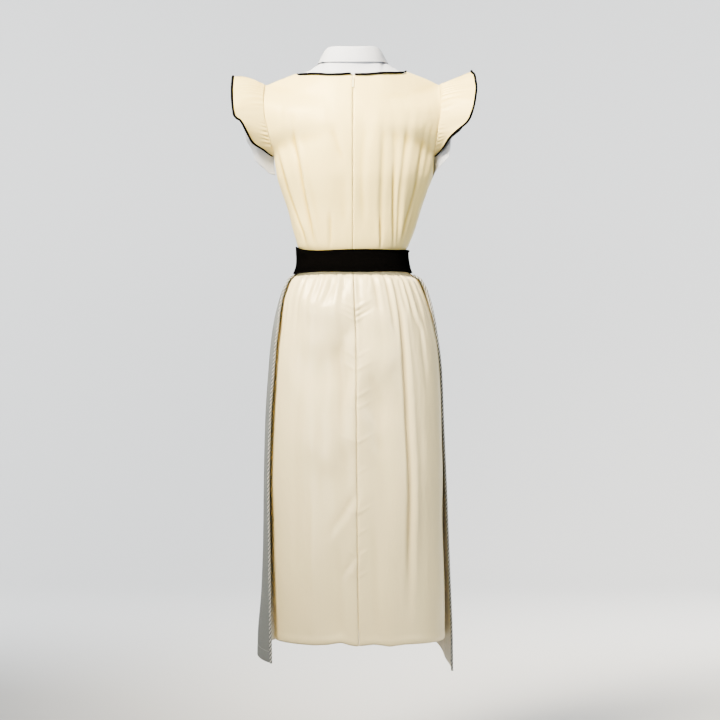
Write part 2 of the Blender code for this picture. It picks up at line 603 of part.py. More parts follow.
def wall(name, surface, columns, rows, finish, thickness=CLOTH, flip=1, seams="", ring=False):
    """A closed wall: the surface's points, the same points moved to one side, and a rim.

    The second layer follows the surface's own normals, so that two walls which meet at a
    seam stay edge to edge through their whole thickness.
    flip says to which side it lies. seams names the edges that are sewn to a neighbour,
    where half the seam's gap is left: l, r for the columns, b, t for the rows.
    """
    grid_u, grid_v = np.meshgrid(columns, rows, indexing="ij")
    outer = surface(grid_u, grid_v)
    inner = outer - flip * thickness * grid_normals(surface, grid_u, grid_v)
    for letter, edge, beside in (
        ("l", np.s_[0, :], np.s_[1, :]),
        ("r", np.s_[-1, :], np.s_[-2, :]),
        ("b", np.s_[:, 0], np.s_[:, 1]),
        ("t", np.s_[:, -1], np.s_[:, -2]),
    ):
        if letter in seams:
            step = outer[beside] - outer[edge]
            step = step / np.linalg.norm(step, axis=-1, keepdims=True) * SEAM * 0.6
            outer[edge] += step
            inner[edge] += step
    count_u, count_v = grid_u.shape
    total = count_u * count_v
    points = np.concatenate([outer.reshape(-1, 3), inner.reshape(-1, 3)])
    faces = []

    def at(i, j, layer):
        return layer * total + (i % count_u) * count_v + j

    spans = count_u if ring else count_u - 1
    for i in range(spans):
        for j in range(count_v - 1):
            for layer in (0, 1):
                faces.append(
                    (at(i, j, layer), at(i + 1, j, layer), at(i + 1, j + 1, layer), at(i, j + 1, layer))
                )
        for j in (0, count_v - 1):
            faces.append((at(i, j, 0), at(i + 1, j, 0), at(i + 1, j, 1), at(i, j, 1)))
    if not ring:
        for i in (0, count_u - 1):
            for j in range(count_v - 1):
                faces.append((at(i, j, 0), at(i, j + 1, 0), at(i, j + 1, 1), at(i, j, 1)))
    return add_mesh(name, points, faces, finish)


def cord(name, path, radius, finish, sides_level=1):
    """A round cord along a path of points, with closed ends."""
    curve = bpy.data.curves.new(name, "CURVE")
    curve.dimensions = "3D"
    curve.bevel_depth = radius
    curve.bevel_resolution = sides_level
    curve.use_fill_caps = True
    spline = curve.splines.new("POLY")
    spline.points.add(len(path) - 1)
    for point, place in zip(spline.points, path):
        point.co = (*place, 1.0)
    curve.materials.append(finish)
    made = bpy.data.objects.new(name, curve)
    garment.objects.link(made)
    return made


def spaced(low, high, count):
    return np.linspace(low, high, count)


def beside(edge, inside, distance):
    """Points at a distance from an edge, square to it and away from the points inside."""
    along = np.gradient(edge, axis=0)
    along = along / np.linalg.norm(along, axis=-1, keepdims=True)
    away = edge - inside
    away = away - along * np.sum(away * along, axis=-1, keepdims=True)
    return edge + away / np.linalg.norm(away, axis=-1, keepdims=True) * distance


# ------------------------------------------------------------------------- dress

def level_of(cut, z):
    """Level of a height below the underarm."""
    return (z - cut.low) / (cut.underarm - cut.low)


def turn_at_x(x, cut):
    """Turn on the back at which a garment's top edge is this far across."""
    share = x / (smooth(TORSO, "half_width", cut.shoulder) - cut.inset)
    return math.degrees(math.asin(abs(share) ** (ROUNDNESS / 2))) * math.copysign(1, x)


NECK_LEFT_X = -0.1160
NECK_RIGHT_X = 0.1120
NECK_LEFT = turn_at_x(NECK_LEFT_X, DRESS)
NECK_RIGHT = turn_at_x(NECK_RIGHT_X, DRESS)
EDGE = 1e-4  # keeps a column on its own side of a seam between back and front


def joined(*stretches):
    """Columns of several stretches in a row, each (from, to, count), sharing their ends."""
    parts = [spaced(*stretches[0])]
    parts += [spaced(*stretch)[1:] for stretch in stretches[1:]]
    return np.concatenate(parts)


cream = material("cream_satin", CREAM, 0.42)
white = material("white_cotton", WHITE, 0.80)
black = material("black_trim", BLACK, 0.55)
BODY_LEVELS = np.array([level_of(DRESS, row.z) for row in TORSO if row.z < DRESS.underarm])
BODY_LEVELS = np.concatenate([BODY_LEVELS, spaced(1.0, 2.0, 9)])


def dress_surface(turn, level):
    return upper_body(DRESS, turn, level)


NECK_BEND = 8  # turn over which the neckline leaves the shoulder
BACK_LEFT = joined(
    (-90 + EDGE, NECK_LEFT, 5), (NECK_LEFT, NECK_LEFT + NECK_BEND, 4), (NECK_LEFT + NECK_BEND, 0, 7)
)
BACK_RIGHT = joined(
    (0, NECK_RIGHT - NECK_BEND, 7), (NECK_RIGHT - NECK_BEND, NECK_RIGHT, 4), (NECK_RIGHT, 90 - EDGE, 5)
)
FRONT = joined(
    (90 + EDGE, 180 - NECK_RIGHT, 5),
    (180 - NECK_RIGHT, 180 - NECK_RIGHT + NECK_BEND, 5),
    (180 - NECK_RIGHT + NECK_BEND, 180 - NECK_LEFT - NECK_BEND, 9),
    (180 - NECK_LEFT - NECK_BEND, 180 - NECK_LEFT, 5),
    (180 - NECK_LEFT, 270 - EDGE, 5),
)
wall("bodice_back_left", dress_surface, BACK_LEFT, BODY_LEVELS, cream, seams="lrbt")
wall("bodice_back_right", dress_surface, BACK_RIGHT, BODY_LEVELS, cream, seams="lrbt")
wall("bodice_front", dress_surface, FRONT, BODY_LEVELS, cream, seams="lrbt")


def neck_path(turn):
    """Points of the piping that lies on the neckline's upper edge."""
    inside = dress_surface(turn, BODY_LEVELS[-2])
    path = beside(dress_surface(turn, BODY_LEVELS[-1]), inside, PIPING_RADIUS + PIPING_GAP)
    normals = grid_normals(dress_surface, turn[:, None], np.array([[1.99, 2.0]]))[:, 1]
    return path - normals * CLOTH / 2


ZIP_PARTING = 1.2  # turn at which each half of the piping stops short of the zip
neck_left = BACK_LEFT[(BACK_LEFT > NECK_LEFT - 0.01) & (BACK_LEFT < -ZIP_PARTING)]
neck_right = BACK_RIGHT[(BACK_RIGHT > ZIP_PARTING) & (BACK_RIGHT < NECK_RIGHT + 0.01)]
neck_left[0] += 0.8
neck_right[-1] -= 0.8
neck_front = FRONT[(FRONT > 180 - NECK_RIGHT - 0.01) & (FRONT < 180 - NECK_LEFT + 0.01)]
cord("neck_piping_back_left", neck_path(np.append(neck_left, -ZIP_PARTING)), PIPING_RADIUS, black)
cord("neck_piping_back_right", neck_path(np.append(ZIP_PARTING, neck_right)), PIPING_RADIUS, black)
cord("neck_piping_front", neck_path(neck_front), PIPING_RADIUS, black)

SKIRT_Z = np.array([row.z for row in SKIRT[::-1]])
for name, columns in (
    ("skirt_back_left", spaced(-90, 0, 25)),
    ("skirt_back_right", spaced(0, 90, 25)),
    ("skirt_front", spaced(90, 270, 29)),
):
    wall(name, skirt, columns, SKIRT_Z, cream, flip=-1, seams="lrb")

TURNS = joined((8, 180, 19), (180, 352, 19))
UNDER_TURNS = spaced(0, 360, 37)[:-1]
for side_name, side, rows, under_rows in (
    ("left", -1, FLOUNCE_LEFT, UNDER_LEFT),
    ("right", 1, FLOUNCE_RIGHT, UNDER_RIGHT),
):

    def cream_flounce(turn, width, side=side, rows=rows):
        return flounce(DRESS, rows, side, FLOUNCE_WAVES, 0.0022, turn, width)

    def white_flounce(turn, width, side=side, rows=under_rows):
        return flounce(BLOUSE, rows, side, FLOUNCE_WAVES - 1, 0.0020, turn, width)

    wall(f"flounce_{side_name}", cream_flounce, TURNS, spaced(0, 1, 4), cream, flip=side)
    wall(
        f"under_flounce_{side_name}",
        white_flounce,
        UNDER_TURNS,
        spaced(0, 1, 4),
        white,
        flip=side,
        ring=True,
    )
    rim = cream_flounce(TURNS, 1.0)
    path = beside(rim, cream_flounce(TURNS, 0.8), PIPING_RADIUS + PIPING_GAP)
    normals = grid_normals(cream_flounce, TURNS[:, None], np.array([[0.99, 1.0]]))[:, 1]
    path = path - side * normals * CLOTH / 2
    cord(f"flounce_piping_{side_name}", path, PIPING_RADIUS, black, sides_level=0)

# --------------------------------------------------------------------------- zip


def back_slope(z):
    """Centre back of the bodice at a height: the point, and the cloth's lean there."""
    levels = spaced(0, 2, 800)
    line = dress_surface(np.zeros_like(levels), levels)
    y = float(np.interp(z, line[:, 2], line[:, 1]))
    below = float(np.interp(z - TAB_LENGTH, line[:, 2], line[:, 1]))
    return y, -math.atan2(y - below, TAB_LENGTH)


def block(name, size, finish, place, spot):
    """A block with its origin at a place, its centre at a spot from there, leaning with the cloth."""
    bpy.ops.mesh.primitive_cube_add(size=1.0)
    made = bpy.context.object
    made.name = name
    made.data.name = name
    made.data.transform(Matrix.Diagonal((*size, 1.0)))
    made.data.transform(Matrix.Translation(spot))
    made.rotation_euler = (LEAN, 0.0, 0.0)
    made.location = place
    for holder in made.users_collection:
        holder.objects.unlink(made)
    garment.objects.link(made)
    made.data.materials.append(finish)
    return made


def combine(target, other, operation):
    """Boolean with another block, which then serves only as a cutter."""
    step = target.modifiers.new(operation.lower(), "BOOLEAN")
    step.operation = operation
    step.object = other
    step.solver = "EXACT"
    other.hide_render = True
    other.display_type = "WIRE"
    garment.objects.unlink(other)
    cutters.objects.link(other)


cutters = bpy.data.collections.new("cutters")
bpy.context.scene.collection.children.link(cutters)
zip_paint = material("zip_enamel", PALE_YELLOW, 0.35)
back_y, LEAN = back_slope(ZIP_Z)
ZIP_PLACE = Vector((0.0, back_y, ZIP_Z))

# In the leaning frame +Y goes into the cloth, whose outer face is at 0, and +Z up.
slider_y = -ZIP_GAP - SLIDER_THICKNESS / 2
pivot_y = -ZIP_GAP - SLIDER_THICKNESS - PIVOT_STANDOFF
PIVOT = ZIP_PLACE + Matrix.Rotation(LEAN, 3, "X") @ Vector((0.0, pivot_y, 0.0))
slider = block(
    "zip_slider",
    (SLIDER_WIDTH, SLIDER_THICKNESS, SLIDER_LENGTH),
    zip_paint,
    ZIP_PLACE,
    (0.0, slider_y, 0.0),
)
loop_outer = block(
    "loop_outer", (LOOP_WIDTH, 2 * LOOP_REACH, 2 * LOOP_REACH), zip_paint, PIVOT, (0.0, 0.0, 0.0)
)
loop_inner = block(
    "loop_inner", (2 * LOOP_WIDTH, 2 * LOOP_CLEAR, 2 * LOOP_CLEAR), zip_paint, PIVOT, (0.0, 0.0, 0.0)
)
combine(slider, loop_outer, "UNION")
combine(slider, loop_inner, "DIFFERENCE")

# The tab's origin lies on its hinge, the middle of the crossbar above its window.
tab = block(
    "zip_pull_tab",
    (TAB_WIDTH, TAB_THICKNESS, TAB_LENGTH),
    zip_paint,
    PIVOT,
    (0.0, 0.0, TAB_THICKNESS / 2 - TAB_LENGTH / 2),
)
window = block(
    "tab_window",
    (LOOP_WIDTH + 2 * TAB_PLAY, 4 * TAB_THICKNESS, WINDOW_LENGTH),
    zip_paint,
    PIVOT,
    (0.0, 0.0, -TAB_THICKNESS / 2 - WINDOW_LENGTH / 2),
)
combine(tab, window, "DIFFERENCE")

# ------------------------------------------------------------------------- apron

grey = material("grey_apron", GREY, 0.70)
braid = material("braid", BRAID_GREY, 0.75)
APRON_ROWS = np.array([0, 0.008, 0.014, 0.026, 0.05, 0.09, 0.15, 0.25, 0.42, 0.62, 0.8, 1.0])
wall("apron", apron, spaced(-1, 1, 39), APRON_ROWS, grey, flip=-1)
for side_name, side in (("left", -1), ("right", 1)):
    drops = APRON_ROWS[2:]
    edge = apron(side * 1.0, drops, BRAID_LIFT)
    path = beside(edge, apron(side * 0.96, drops, BRAID_LIFT), BRAID_RADIUS + PIPING_GAP)
    cord(f"apron_braid_{side_name}", path, BRAID_RADIUS, braid)

# -------------------------------------------------------------------------- belt


def belt_surface(turn, height):
    """The belt's outer face, on the bodice's and skirt's waist, tilted a little."""
    z = BELT_BOTTOM_Z + (BELT_TOP_Z - BELT_BOTTOM_Z) * height
    z = z + BELT_TILT * BELT_HALF_WIDTH * np.sin(np.radians(turn))
    angle = np.radians(turn)
    round_power = 2 / ROUNDNESS
    out = BELT_STANDOFF + BELT_CLOTH
    upper_half = smooth(TORSO, "half_width", z)
    lower_half = smooth(SKIRT, "half_width", z)
    mix = ease(WAIST_Z - 0.001, WAIST_Z + 0.001, z)
    half = lower_half + (upper_half - lower_half) * mix + out
    front = smooth(SKIRT, "front", z) + (smooth(TORSO, "front", z) - smooth(SKIRT, "front", z)) * mix
    back = smooth(SKIRT, "back", z) + (smooth(TORSO, "back", z) - smooth(SKIRT, "back", z)) * mix
    x = half * power(np.sin(angle), round_power)
    y = -power(np.cos(angle), round_power) * (np.where(np.cos(angle) < 0, front, back) + out)
    return np.stack([x, y, z], axis=-1)


wall(
    "belt",
    belt_surface,
    spaced(0, 360, 49)[:-1],
    spaced(0, 1, 4),
    material("black_elastic", BLACK, 0.60),
    thickness=BELT_CLOTH,
    flip=1,
    ring=True,
)

# ------------------------------------------------------------------------ blouse


def blouse_surface(turn, level):
    return upper_body(BLOUSE, turn, level)


BLOUSE_LEVELS = joined((0, 1, 3), (1, 2, 8))
COLLAR_SIDE = turn_at_x(NECK_HALF, BLOUSE)
wall(
    "blouse_back",
    blouse_surface,
    joined((-90 + EDGE, -COLLAR_SIDE, 7), (-COLLAR_SIDE, COLLAR_SIDE, 9), (COLLAR_SIDE, 90 - EDGE, 7)),
    BLOUSE_LEVELS,
    white,
    seams="lrt",
)
HALF_FRONT = joined((90 + EDGE, 180 - COLLAR_SIDE, 7), (180 - COLLAR_SIDE, 180, 6))
wall("blouse_front_right", blouse_surface, HALF_FRONT, BLOUSE_LEVELS, white, seams="lrt")
wall("blouse_front_left", blouse_surface, 360 - HALF_FRONT[::-1], BLOUSE_LEVELS, white, seams="lrt")


def placket_surface(side, level):
    share = side * PLACKET_WIDTH / 2 / (smooth(TORSO, "half_width", -0.1) - BLOUSE.inset)
    turn = 180 - np.degrees(np.arcsin(power(share, ROUNDNESS / 2)))
    return blouse_surface(turn, level) + np.array([0.0, 0.0014, 0.0005])


PLACKET_LEVELS = BLOUSE_LEVELS[:-1]
wall("blouse_placket", placket_surface, spaced(-1, 1, 4), PLACKET_LEVELS, white, thickness=0.001, flip=-1)


def stand_surface(turn, height):
    return collar_point(turn, STAND_TOP * height, -STAND_INSET)


def fall_surface(turn, height):
    return collar_point(turn, 1 + height)


COLLAR_TURNS = spaced(-174, 174, 31)
wall("collar_stand", stand_surface, COLLAR_TURNS, spaced(0, 1, 3), white, flip=-1)
wall("collar_fall", fall_surface, COLLAR_TURNS, spaced(0, 1, 5), white, flip=1)

for number, z in enumerate(BUTTON_HEIGHTS, start=1):
    levels = spaced(1, 2, 400)
    line = placket_surface(np.zeros_like(levels), levels)
    y = float(np.interp(z, line[:, 2], line[:, 1]))
    below = float(np.interp(z - 0.01, line[:, 2], line[:, 1]))
    lean = math.atan2(below - y, 0.01)
    bpy.ops.mesh.primitive_cylinder_add(
        vertices=16, radius=BUTTON_RADIUS, depth=BUTTON_THICKNESS, end_fill_type="NGON"
    )
    button = bpy.context.object
    button.name = f"blouse_button_{number}"
    button.data.name = button.name
    button.rotation_euler = (-math.pi / 2 + lean, 0.0, 0.0)
    stand_off = BUTTON_THICKNESS / 2 + 0.0005
    button.location = (
        0.0,
        y + stand_off * math.cos(lean),
        z + stand_off * math.sin(lean),
    )
    for holder in button.users_collection:
        holder.objects.unlink(button)
    garment.objects.link(button)
    button.data.materials.append(material("pearl_button", PEARL, 0.25))
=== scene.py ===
"""Worn dirndl: white blouse, cream satin dress with piped flounces, black belt, grey apron.

Metres, +Z up. +Y is the wearer's front, +X the wearer's right, and the origin lies midway
between the shoulder tips. The photograph looks at the garment's back, along +Y.
"""

import math
from collections import namedtuple

import bmesh
import bpy
import numpy as np
from mathutils import Matrix, Vector


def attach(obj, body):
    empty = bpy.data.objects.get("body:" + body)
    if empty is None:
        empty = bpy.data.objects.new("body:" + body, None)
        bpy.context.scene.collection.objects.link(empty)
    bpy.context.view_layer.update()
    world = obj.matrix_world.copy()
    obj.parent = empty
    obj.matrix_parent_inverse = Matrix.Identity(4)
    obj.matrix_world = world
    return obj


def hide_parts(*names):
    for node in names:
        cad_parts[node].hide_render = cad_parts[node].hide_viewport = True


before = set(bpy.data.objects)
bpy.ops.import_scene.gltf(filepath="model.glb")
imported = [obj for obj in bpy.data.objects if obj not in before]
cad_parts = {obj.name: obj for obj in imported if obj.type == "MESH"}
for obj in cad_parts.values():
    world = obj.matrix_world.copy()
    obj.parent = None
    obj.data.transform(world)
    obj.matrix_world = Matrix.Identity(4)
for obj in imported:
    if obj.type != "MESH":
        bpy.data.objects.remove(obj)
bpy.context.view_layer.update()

# ------------------------------------------------------------------------- skirt
# Three lengths of cream satin, two behind and one in front, gathered into the waist seam
# and hanging to a narrow rolled hem. The centre back seam is puckered where the thread
# pulled, and soft creases fall from the gathers.

SKIRT_TOP = -0.3660
SKIRT_HEM = -1.1460
SQUARENESS = 2 / 2.3  # exponent that makes the figure's cross-section fuller than an ellipse
SEAM_HALF = 0.00018  # half the gap between two panels that are sewn together
SATIN = 0.0007  # thickness of the satin shell

# One row for each height: the skirt's half width, its depth behind and in front, how far
# it is shifted to the wearer's right, and the depth of its gathers.
Girth = namedtuple("Girth", "z shift half back front gather")
SKIRT_GIRTHS = [
    Girth(-1.1460, 0.0129, 0.1745, 0.1330, 0.1340, 0.0000),
    Girth(-1.0681, 0.0109, 0.1752, 0.1320, 0.1320, 0.0000),
    Girth(-0.9439, 0.0093, 0.1750, 0.1300, 0.1290, 0.0000),
    Girth(-0.8197, 0.0083, 0.1748, 0.1280, 0.1260, 0.0000),
    Girth(-0.6955, 0.0076, 0.1722, 0.1270, 0.1230, 0.0001),
    Girth(-0.6127, 0.0068, 0.1692, 0.1260, 0.1210, 0.0001),
    Girth(-0.5403, 0.0065, 0.1645, 0.1240, 0.1180, 0.0003),
    Girth(-0.4885, 0.0055, 0.1565, 0.1200, 0.1150, 0.0007),
    Girth(-0.4471, 0.0032, 0.1475, 0.1140, 0.1110, 0.0015),
    Girth(-0.4264, 0.0025, 0.1405, 0.1090, 0.1070, 0.0022),
    Girth(-0.4057, 0.0020, 0.1310, 0.1010, 0.1010, 0.0020),
    Girth(-0.3965, 0.0008, 0.1180, 0.0900, 0.0920, 0.0014),
    Girth(-0.3905, 0.0005, 0.1132, 0.0860, 0.0880, 0.0008),
    Girth(-0.3800, 0.0002, 0.1095, 0.0826, 0.0846, 0.0004),
    Girth(-0.3660, 0.0000, 0.1065, 0.0785, 0.0810, 0.0003),
]


def smooth(rows, column, at):
    """A column of a table read at any place between its rows, on a curve with no overshoot."""
    x = np.array([row[0] for row in rows], float)
    y = np.array([getattr(row, column) for row in rows], float)
    step = np.diff(x)
    rise = np.diff(y) / step
    same = rise[:-1] * rise[1:] > 0
    total = np.where(same, rise[:-1] + rise[1:], 1.0)
    bend = np.concatenate([rise[:1], np.where(same, 2 * rise[:-1] * rise[1:] / total, 0.0), rise[-1:]])
    at = np.clip(at, x[0], x[-1])
    i = np.clip(np.searchsorted(x, at, side="right") - 1, 0, len(step) - 1)
    t = (at - x[i]) / step[i]
    value = y[i] * (1 + 2 * t) * (1 - t) ** 2 + y[i + 1] * t * t * (3 - 2 * t)
    return value + step[i] * t * (1 - t) * (bend[i] * (1 - t) - bend[i + 1] * t)


def ease(low, high, value):
    """0 below low, 1 above high, and a soft step between."""
    t = np.clip((value - low) / (high - low), 0.0, 1.0)
    return t * t * (3 - 2 * t)


def power(value, exponent):
    """A power that keeps the sign of what it is given."""
    return np.sign(value) * np.abs(value) ** exponent


def swell(value, middle, width):
    """1 at the middle, dying away on both sides of it."""
    return np.exp(-(((value - middle) / width) ** 2))


# A crease runs through its knots, each (distance to the wearer's right, height). Its
# trough is "deep" at most; "lip" raises the cloth beside it, on the right where positive.
Crease = namedtuple("Crease", "knots wide deep lip")
Knot = namedtuple("Knot", "z x")
LIP_OFF = 1.7  # how far beside the trough its lip lies, in widths
LIP_WIDE = 1.6
CREASE_FADE = 0.28  # share of a crease's length over which it dies out at an end
CREASE_PAST = 0.3  # share of that by which it runs past its knots
CREASE_UPPER = 1.1  # how much longer it takes to die out at its upper end


def fold_shape(crease, off):
    """A crease's cross-section at places this many widths beside its trough."""
    side = off - LIP_OFF * np.sign(crease.lip)
    return crease.deep * (abs(crease.lip) * np.exp(-side * side / LIP_WIDE) - np.exp(-off * off))


def crease_relief(creases, x, z, widen=0.0):
    """How far the creases move the cloth out at each place.

    widen is how much wider than at its lower end, as a share, each one is at its upper end.
    """
    total = np.zeros(np.broadcast(x, z).shape)
    for crease in creases:
        knots = sorted(Knot(knot[1], knot[0]) for knot in crease.knots)
        low = knots[0].z
        high = knots[-1].z
        run = (high - low) * CREASE_FADE
        past = run * CREASE_PAST
        fade = ease(low - past, low + run, z) * ease(-high - past, run * CREASE_UPPER - high, -z)
        wide = crease.wide * (1 + widen * np.clip((z - low) / (high - low), 0.0, 1.0))
        total = total + fade * fold_shape(crease, (x - smooth(knots, "x", z)) / wide)
    return total


DRAG_PAST = 0.15  # how far past its ends a drag runs, as a share of its length
DRAG_START = 0.3  # how far along it is at its full depth
DRAG_END = 0.6  # and from where it fades again


def drag_relief(creases, x, z):
    """The same for creases that lie more across than down, listed from end to end."""
    total = np.zeros(np.broadcast(x, z).shape)
    for crease in creases:
        start = np.array(crease.knots[0])
        along = np.array(crease.knots[-1]) - start
        length = np.hypot(*along)
        along = along / length
        run = ((x - start[0]) * along[0] + (z - start[1]) * along[1]) / length
        off = ((x - start[0]) * -along[1] + (z - start[1]) * along[0]) / crease.wide
        fade = ease(-DRAG_PAST, DRAG_START, run) * ease(-1 - DRAG_PAST, -DRAG_END, -run)
        total = total + fade * fold_shape(crease, off)
    return total


SKIRT_GATHERS = 34  # round the whole waist, with finer ones between
SKIRT_CREASES = [
    Crease(((0.081, -0.394), (0.089, -0.450), (0.099, -0.565), (0.107, -0.708), (0.110, -0.805),
            (0.108, -0.920), (0.104, -1.060)), 0.0074, 0.0062, 0.35),
    Crease(((0.101, -0.398), (0.117, -0.468), (0.133, -0.517), (0.142, -0.620)), 0.0054, 0.0024, 0.4),
    Crease(((0.091, -0.394), (0.100, -0.440), (0.106, -0.475)), 0.0045, 0.0026, 0.5),
    Crease(((0.067, -0.394), (0.074, -0.450), (0.079, -0.520)), 0.0050, 0.0018, 0.4),
    Crease(((0.111, -0.396), (0.124, -0.440), (0.136, -0.490)), 0.0050, 0.0018, 0.4),
    Crease(((0.043, -0.394), (0.048, -0.440), (0.050, -0.475)), 0.0050, 0.0022, 0.4),
    Crease(((0.029, -0.394), (0.031, -0.430)), 0.0045, 0.0018, 0.4),
    Crease(((-0.084, -0.396), (-0.092, -0.430), (-0.097, -0.455)), 0.0050, 0.0026, -0.5),
    Crease(((-0.044, -0.396), (-0.050, -0.425), (-0.060, -0.465)), 0.0070, 0.0030, -0.6),
    Crease(((-0.036, -0.396), (-0.037, -0.420)), 0.0040, 0.0016, 0.4),
    Crease(((-0.020, -0.396), (-0.019, -0.430)), 0.0040, 0.0016, -0.4),
    Crease(((-0.036, -0.500), (-0.030, -0.700), (-0.026, -0.860)), 0.0200, 0.0050, -0.3),
    Crease(((-0.070, -0.470), (-0.074, -0.700), (-0.076, -0.900)), 0.0240, 0.0026, -0.5),
    Crease(((-0.112, -0.470), (-0.120, -0.720), (-0.126, -1.120)), 0.0180, 0.0034, 0.6),
    Crease(((-0.094, -0.560), (-0.100, -0.820), (-0.104, -1.140)), 0.0120, 0.0018, 0.6),
    Crease(((0.040, -0.560), (0.050, -0.760), (0.058, -1.000)), 0.0240, 0.0030, -0.5),
    Crease(((0.142, -0.560), (0.152, -0.800), (0.156, -1.140)), 0.0120, 0.0010, -0.5),
    Crease(((0.128, -0.640), (0.134, -0.900), (0.136, -1.140)), 0.0170, 0.0016, 0.5),
    Crease(((0.030, -0.860), (0.036, -1.000), (0.038, -1.146)), 0.0180, 0.0026, 0.5),
    Crease(((-0.040, -0.930), (-0.036, -1.040), (-0.032, -1.146)), 0.0200, 0.0026, 0.5),
]
SKIRT_DRAGS = [
    Crease(((-0.008, -0.500), (-0.050, -0.580)), 0.0170, 0.0040, 0.6),
    Crease(((-0.001, -0.545), (-0.040, -0.690)), 0.0150, 0.0030, 0.6),
    Crease(((0.004, -0.830), (-0.058, -0.925)), 0.0100, 0.0026, 0.7),
    Crease(((0.006, -0.950), (-0.034, -1.010)), 0.0080, 0.0018, 0.7),
    Crease(((0.010, -0.480), (0.044, -0.455)), 0.0090, 0.0018, 0.6),
    Crease(((0.012, -0.560), (0.040, -0.640)), 0.0140, 0.0022, -0.6),
    Crease(((0.014, -0.700), (0.060, -0.760)), 0.0170, 0.0026, -0.6),
    Crease(((-0.016, -0.780), (-0.080, -0.700)), 0.0190, 0.0022, 0.6),
    Crease(((-0.115, -0.455), (-0.002, -0.472)), 0.0340, -0.0100, 0.0),
    Crease(((-0.120, -0.600), (-0.004, -0.570)), 0.0480, 0.0116, 0.0),
    Crease(((-0.130, -0.720), (-0.010, -0.740)), 0.0500, -0.0050, 0.0),
    Crease(((0.014, -0.500), (0.080, -0.480)), 0.0300, -0.0036, 0.0),
    Crease(((0.010, -0.560), (0.080, -0.590)), 0.0380, -0.0056, 0.0),
    Crease(((0.010, -0.680), (0.080, -0.640)), 0.0500, 0.0080, 0.0),
    Crease(((-0.002, -0.700), (-0.060, -0.800)), 0.0300, -0.0030, 0.5),
]
# Painted shade, which darkens the colour only and moves no cloth, where the back lies in its own shade: the
# long fold at the right, and a hollow at the left.
SKIRT_PAINTED_SHADE = [
    Crease(((0.084, -0.394), (0.094, -0.470), (0.102, -0.565), (0.108, -0.708), (0.111, -0.805),
            (0.108, -0.920), (0.104, -1.060)), 0.0058, -0.0020, 0.0),
    Crease(((-0.068, -0.500), (-0.040, -0.560), (-0.052, -0.680)), 0.0200, -0.0007, 0.0),
]
FRONT_CREASES = [
    Crease(((-0.100, -0.395), (-0.110, -0.700), (-0.118, -1.146)), 0.0140, 0.0056, 0.6),
    Crease(((-0.045, -0.395), (-0.050, -0.800), (-0.052, -1.146)), 0.0160, 0.0046, 0.6),
    Crease(((0.020, -0.395), (0.026, -0.700), (0.026, -1.146)), 0.0160, 0.0052, -0.6),
    Crease(((0.085, -0.395), (0.095, -0.700), (0.100, -1.146)), 0.0140, 0.0048, 0.6),
]
# Heights where the thread of the centre back seam has drawn the satin up, and how hard.
Pucker = namedtuple("Pucker", "z strength")
PUCKERS = [
    Pucker(-0.402, 0.6), Pucker(-0.468, 1.7), Pucker(-0.480, 1.6), Pucker(-0.492, 1.3),
    Pucker(-0.566, 0.8), Pucker(-0.592, 1.0), Pucker(-0.646, 0.9), Pucker(-0.670, 0.8),
    Pucker(-0.738, 0.8), Pucker(-0.800, 0.6), Pucker(-0.880, 0.9), Pucker(-0.922, 0.7),
    Pucker(-0.966, 0.9), Pucker(-1.008, 0.7), Pucker(-1.060, 0.4), Pucker(-1.104, 0.4),
]
PUCKER_TALL = 0.0046
PUCKER_REACH = 0.0200
PUCKER_DEEP = 0.0024
PUCKER_LEFT = 0.85  # share of a pucker's depth that lies on the left of the seam
PUCKER_SLANT = 0.55  # how far a pucker climbs for each metre away from the seam
TICK = 0.0105  # spacing of the small even puckers along the whole seam
TICK_REACH = 0.006
TICK_DEEP = 0.00022
SEAM_DEEP = 0.0016  # groove of the centre back seam
SEAM_WIDE = 0.0022
GATHER_REST = 0.8  # how far below its mean, in half waves, gathered cloth is set back
SIDE_FULLNESS = 0.0026
SIDE_FULL_AT = (82, 14)  # the turn where the sides are fullest, and over which they are
SIDE_SEAM_DEEP = 0.0007
SIDE_SEAM_WIDE = 1.1  # in degrees of turn
HEM_ROLL = 0.0011
HEM_ROLL_WIDE = 0.006
HEM_UP = 0.0100  # height of the roll above the edge
HEM_TUCK = 0.0016  # how far the edge turns in below it
HEM_TUCK_UP = 0.0035
HEM_WAVE_UP = 0.04  # height up to which the hem's waves are felt
HEM_WAVE_OUT = 0.4  # how far the cloth stands out there, as a share of how far its edge is raised
# How much higher or lower the hem hangs at each distance to the wearer's right.
HEM_WAVES = [Knot(0.0000, -0.1600), Knot(-0.0008, -0.0900), Knot(0.0012, -0.0650), Knot(0.0064, -0.0360),
             Knot(0.0010, -0.0180), Knot(-0.0010, -0.0050), Knot(0.0026, 0.0300), Knot(0.0006, 0.0450),
             Knot(-0.0024, 0.0620), Knot(0.0008, 0.0950), Knot(0.0000, 0.1600)]
UNEVENNESS = 0.0007
SIDE_COMES_IN = (-0.1, 0.25)  # cosines of the turn between which a side's creases come in
SKIRT_WIDENING = -0.35  # how much wider, as a share, its creases are at the top; below 0 narrower
UNEVEN_FROM = (0.40, 0.52)  # distances below the shoulders between which the unevenness comes in
FULL_FROM = (0.41, 0.50)  # and the fullness of the sides
LEAST_HALF = 0.085  # no crease goes deeper than half the way in to this half width


def undulation(x, z):
    """The slight unevenness of hanging satin, as long shallow waves at several slants."""
    total = np.sin(31 * x + 9 * z + 1.3) + np.sin(-44 * x + 15 * z) + 0.8 * np.sin(17 * x - 27 * z + 2.0)
    return UNEVENNESS * (total + 0.6 * np.sin(71 * x + 21 * z + 0.5) * np.sin(23 * z + 1.0))


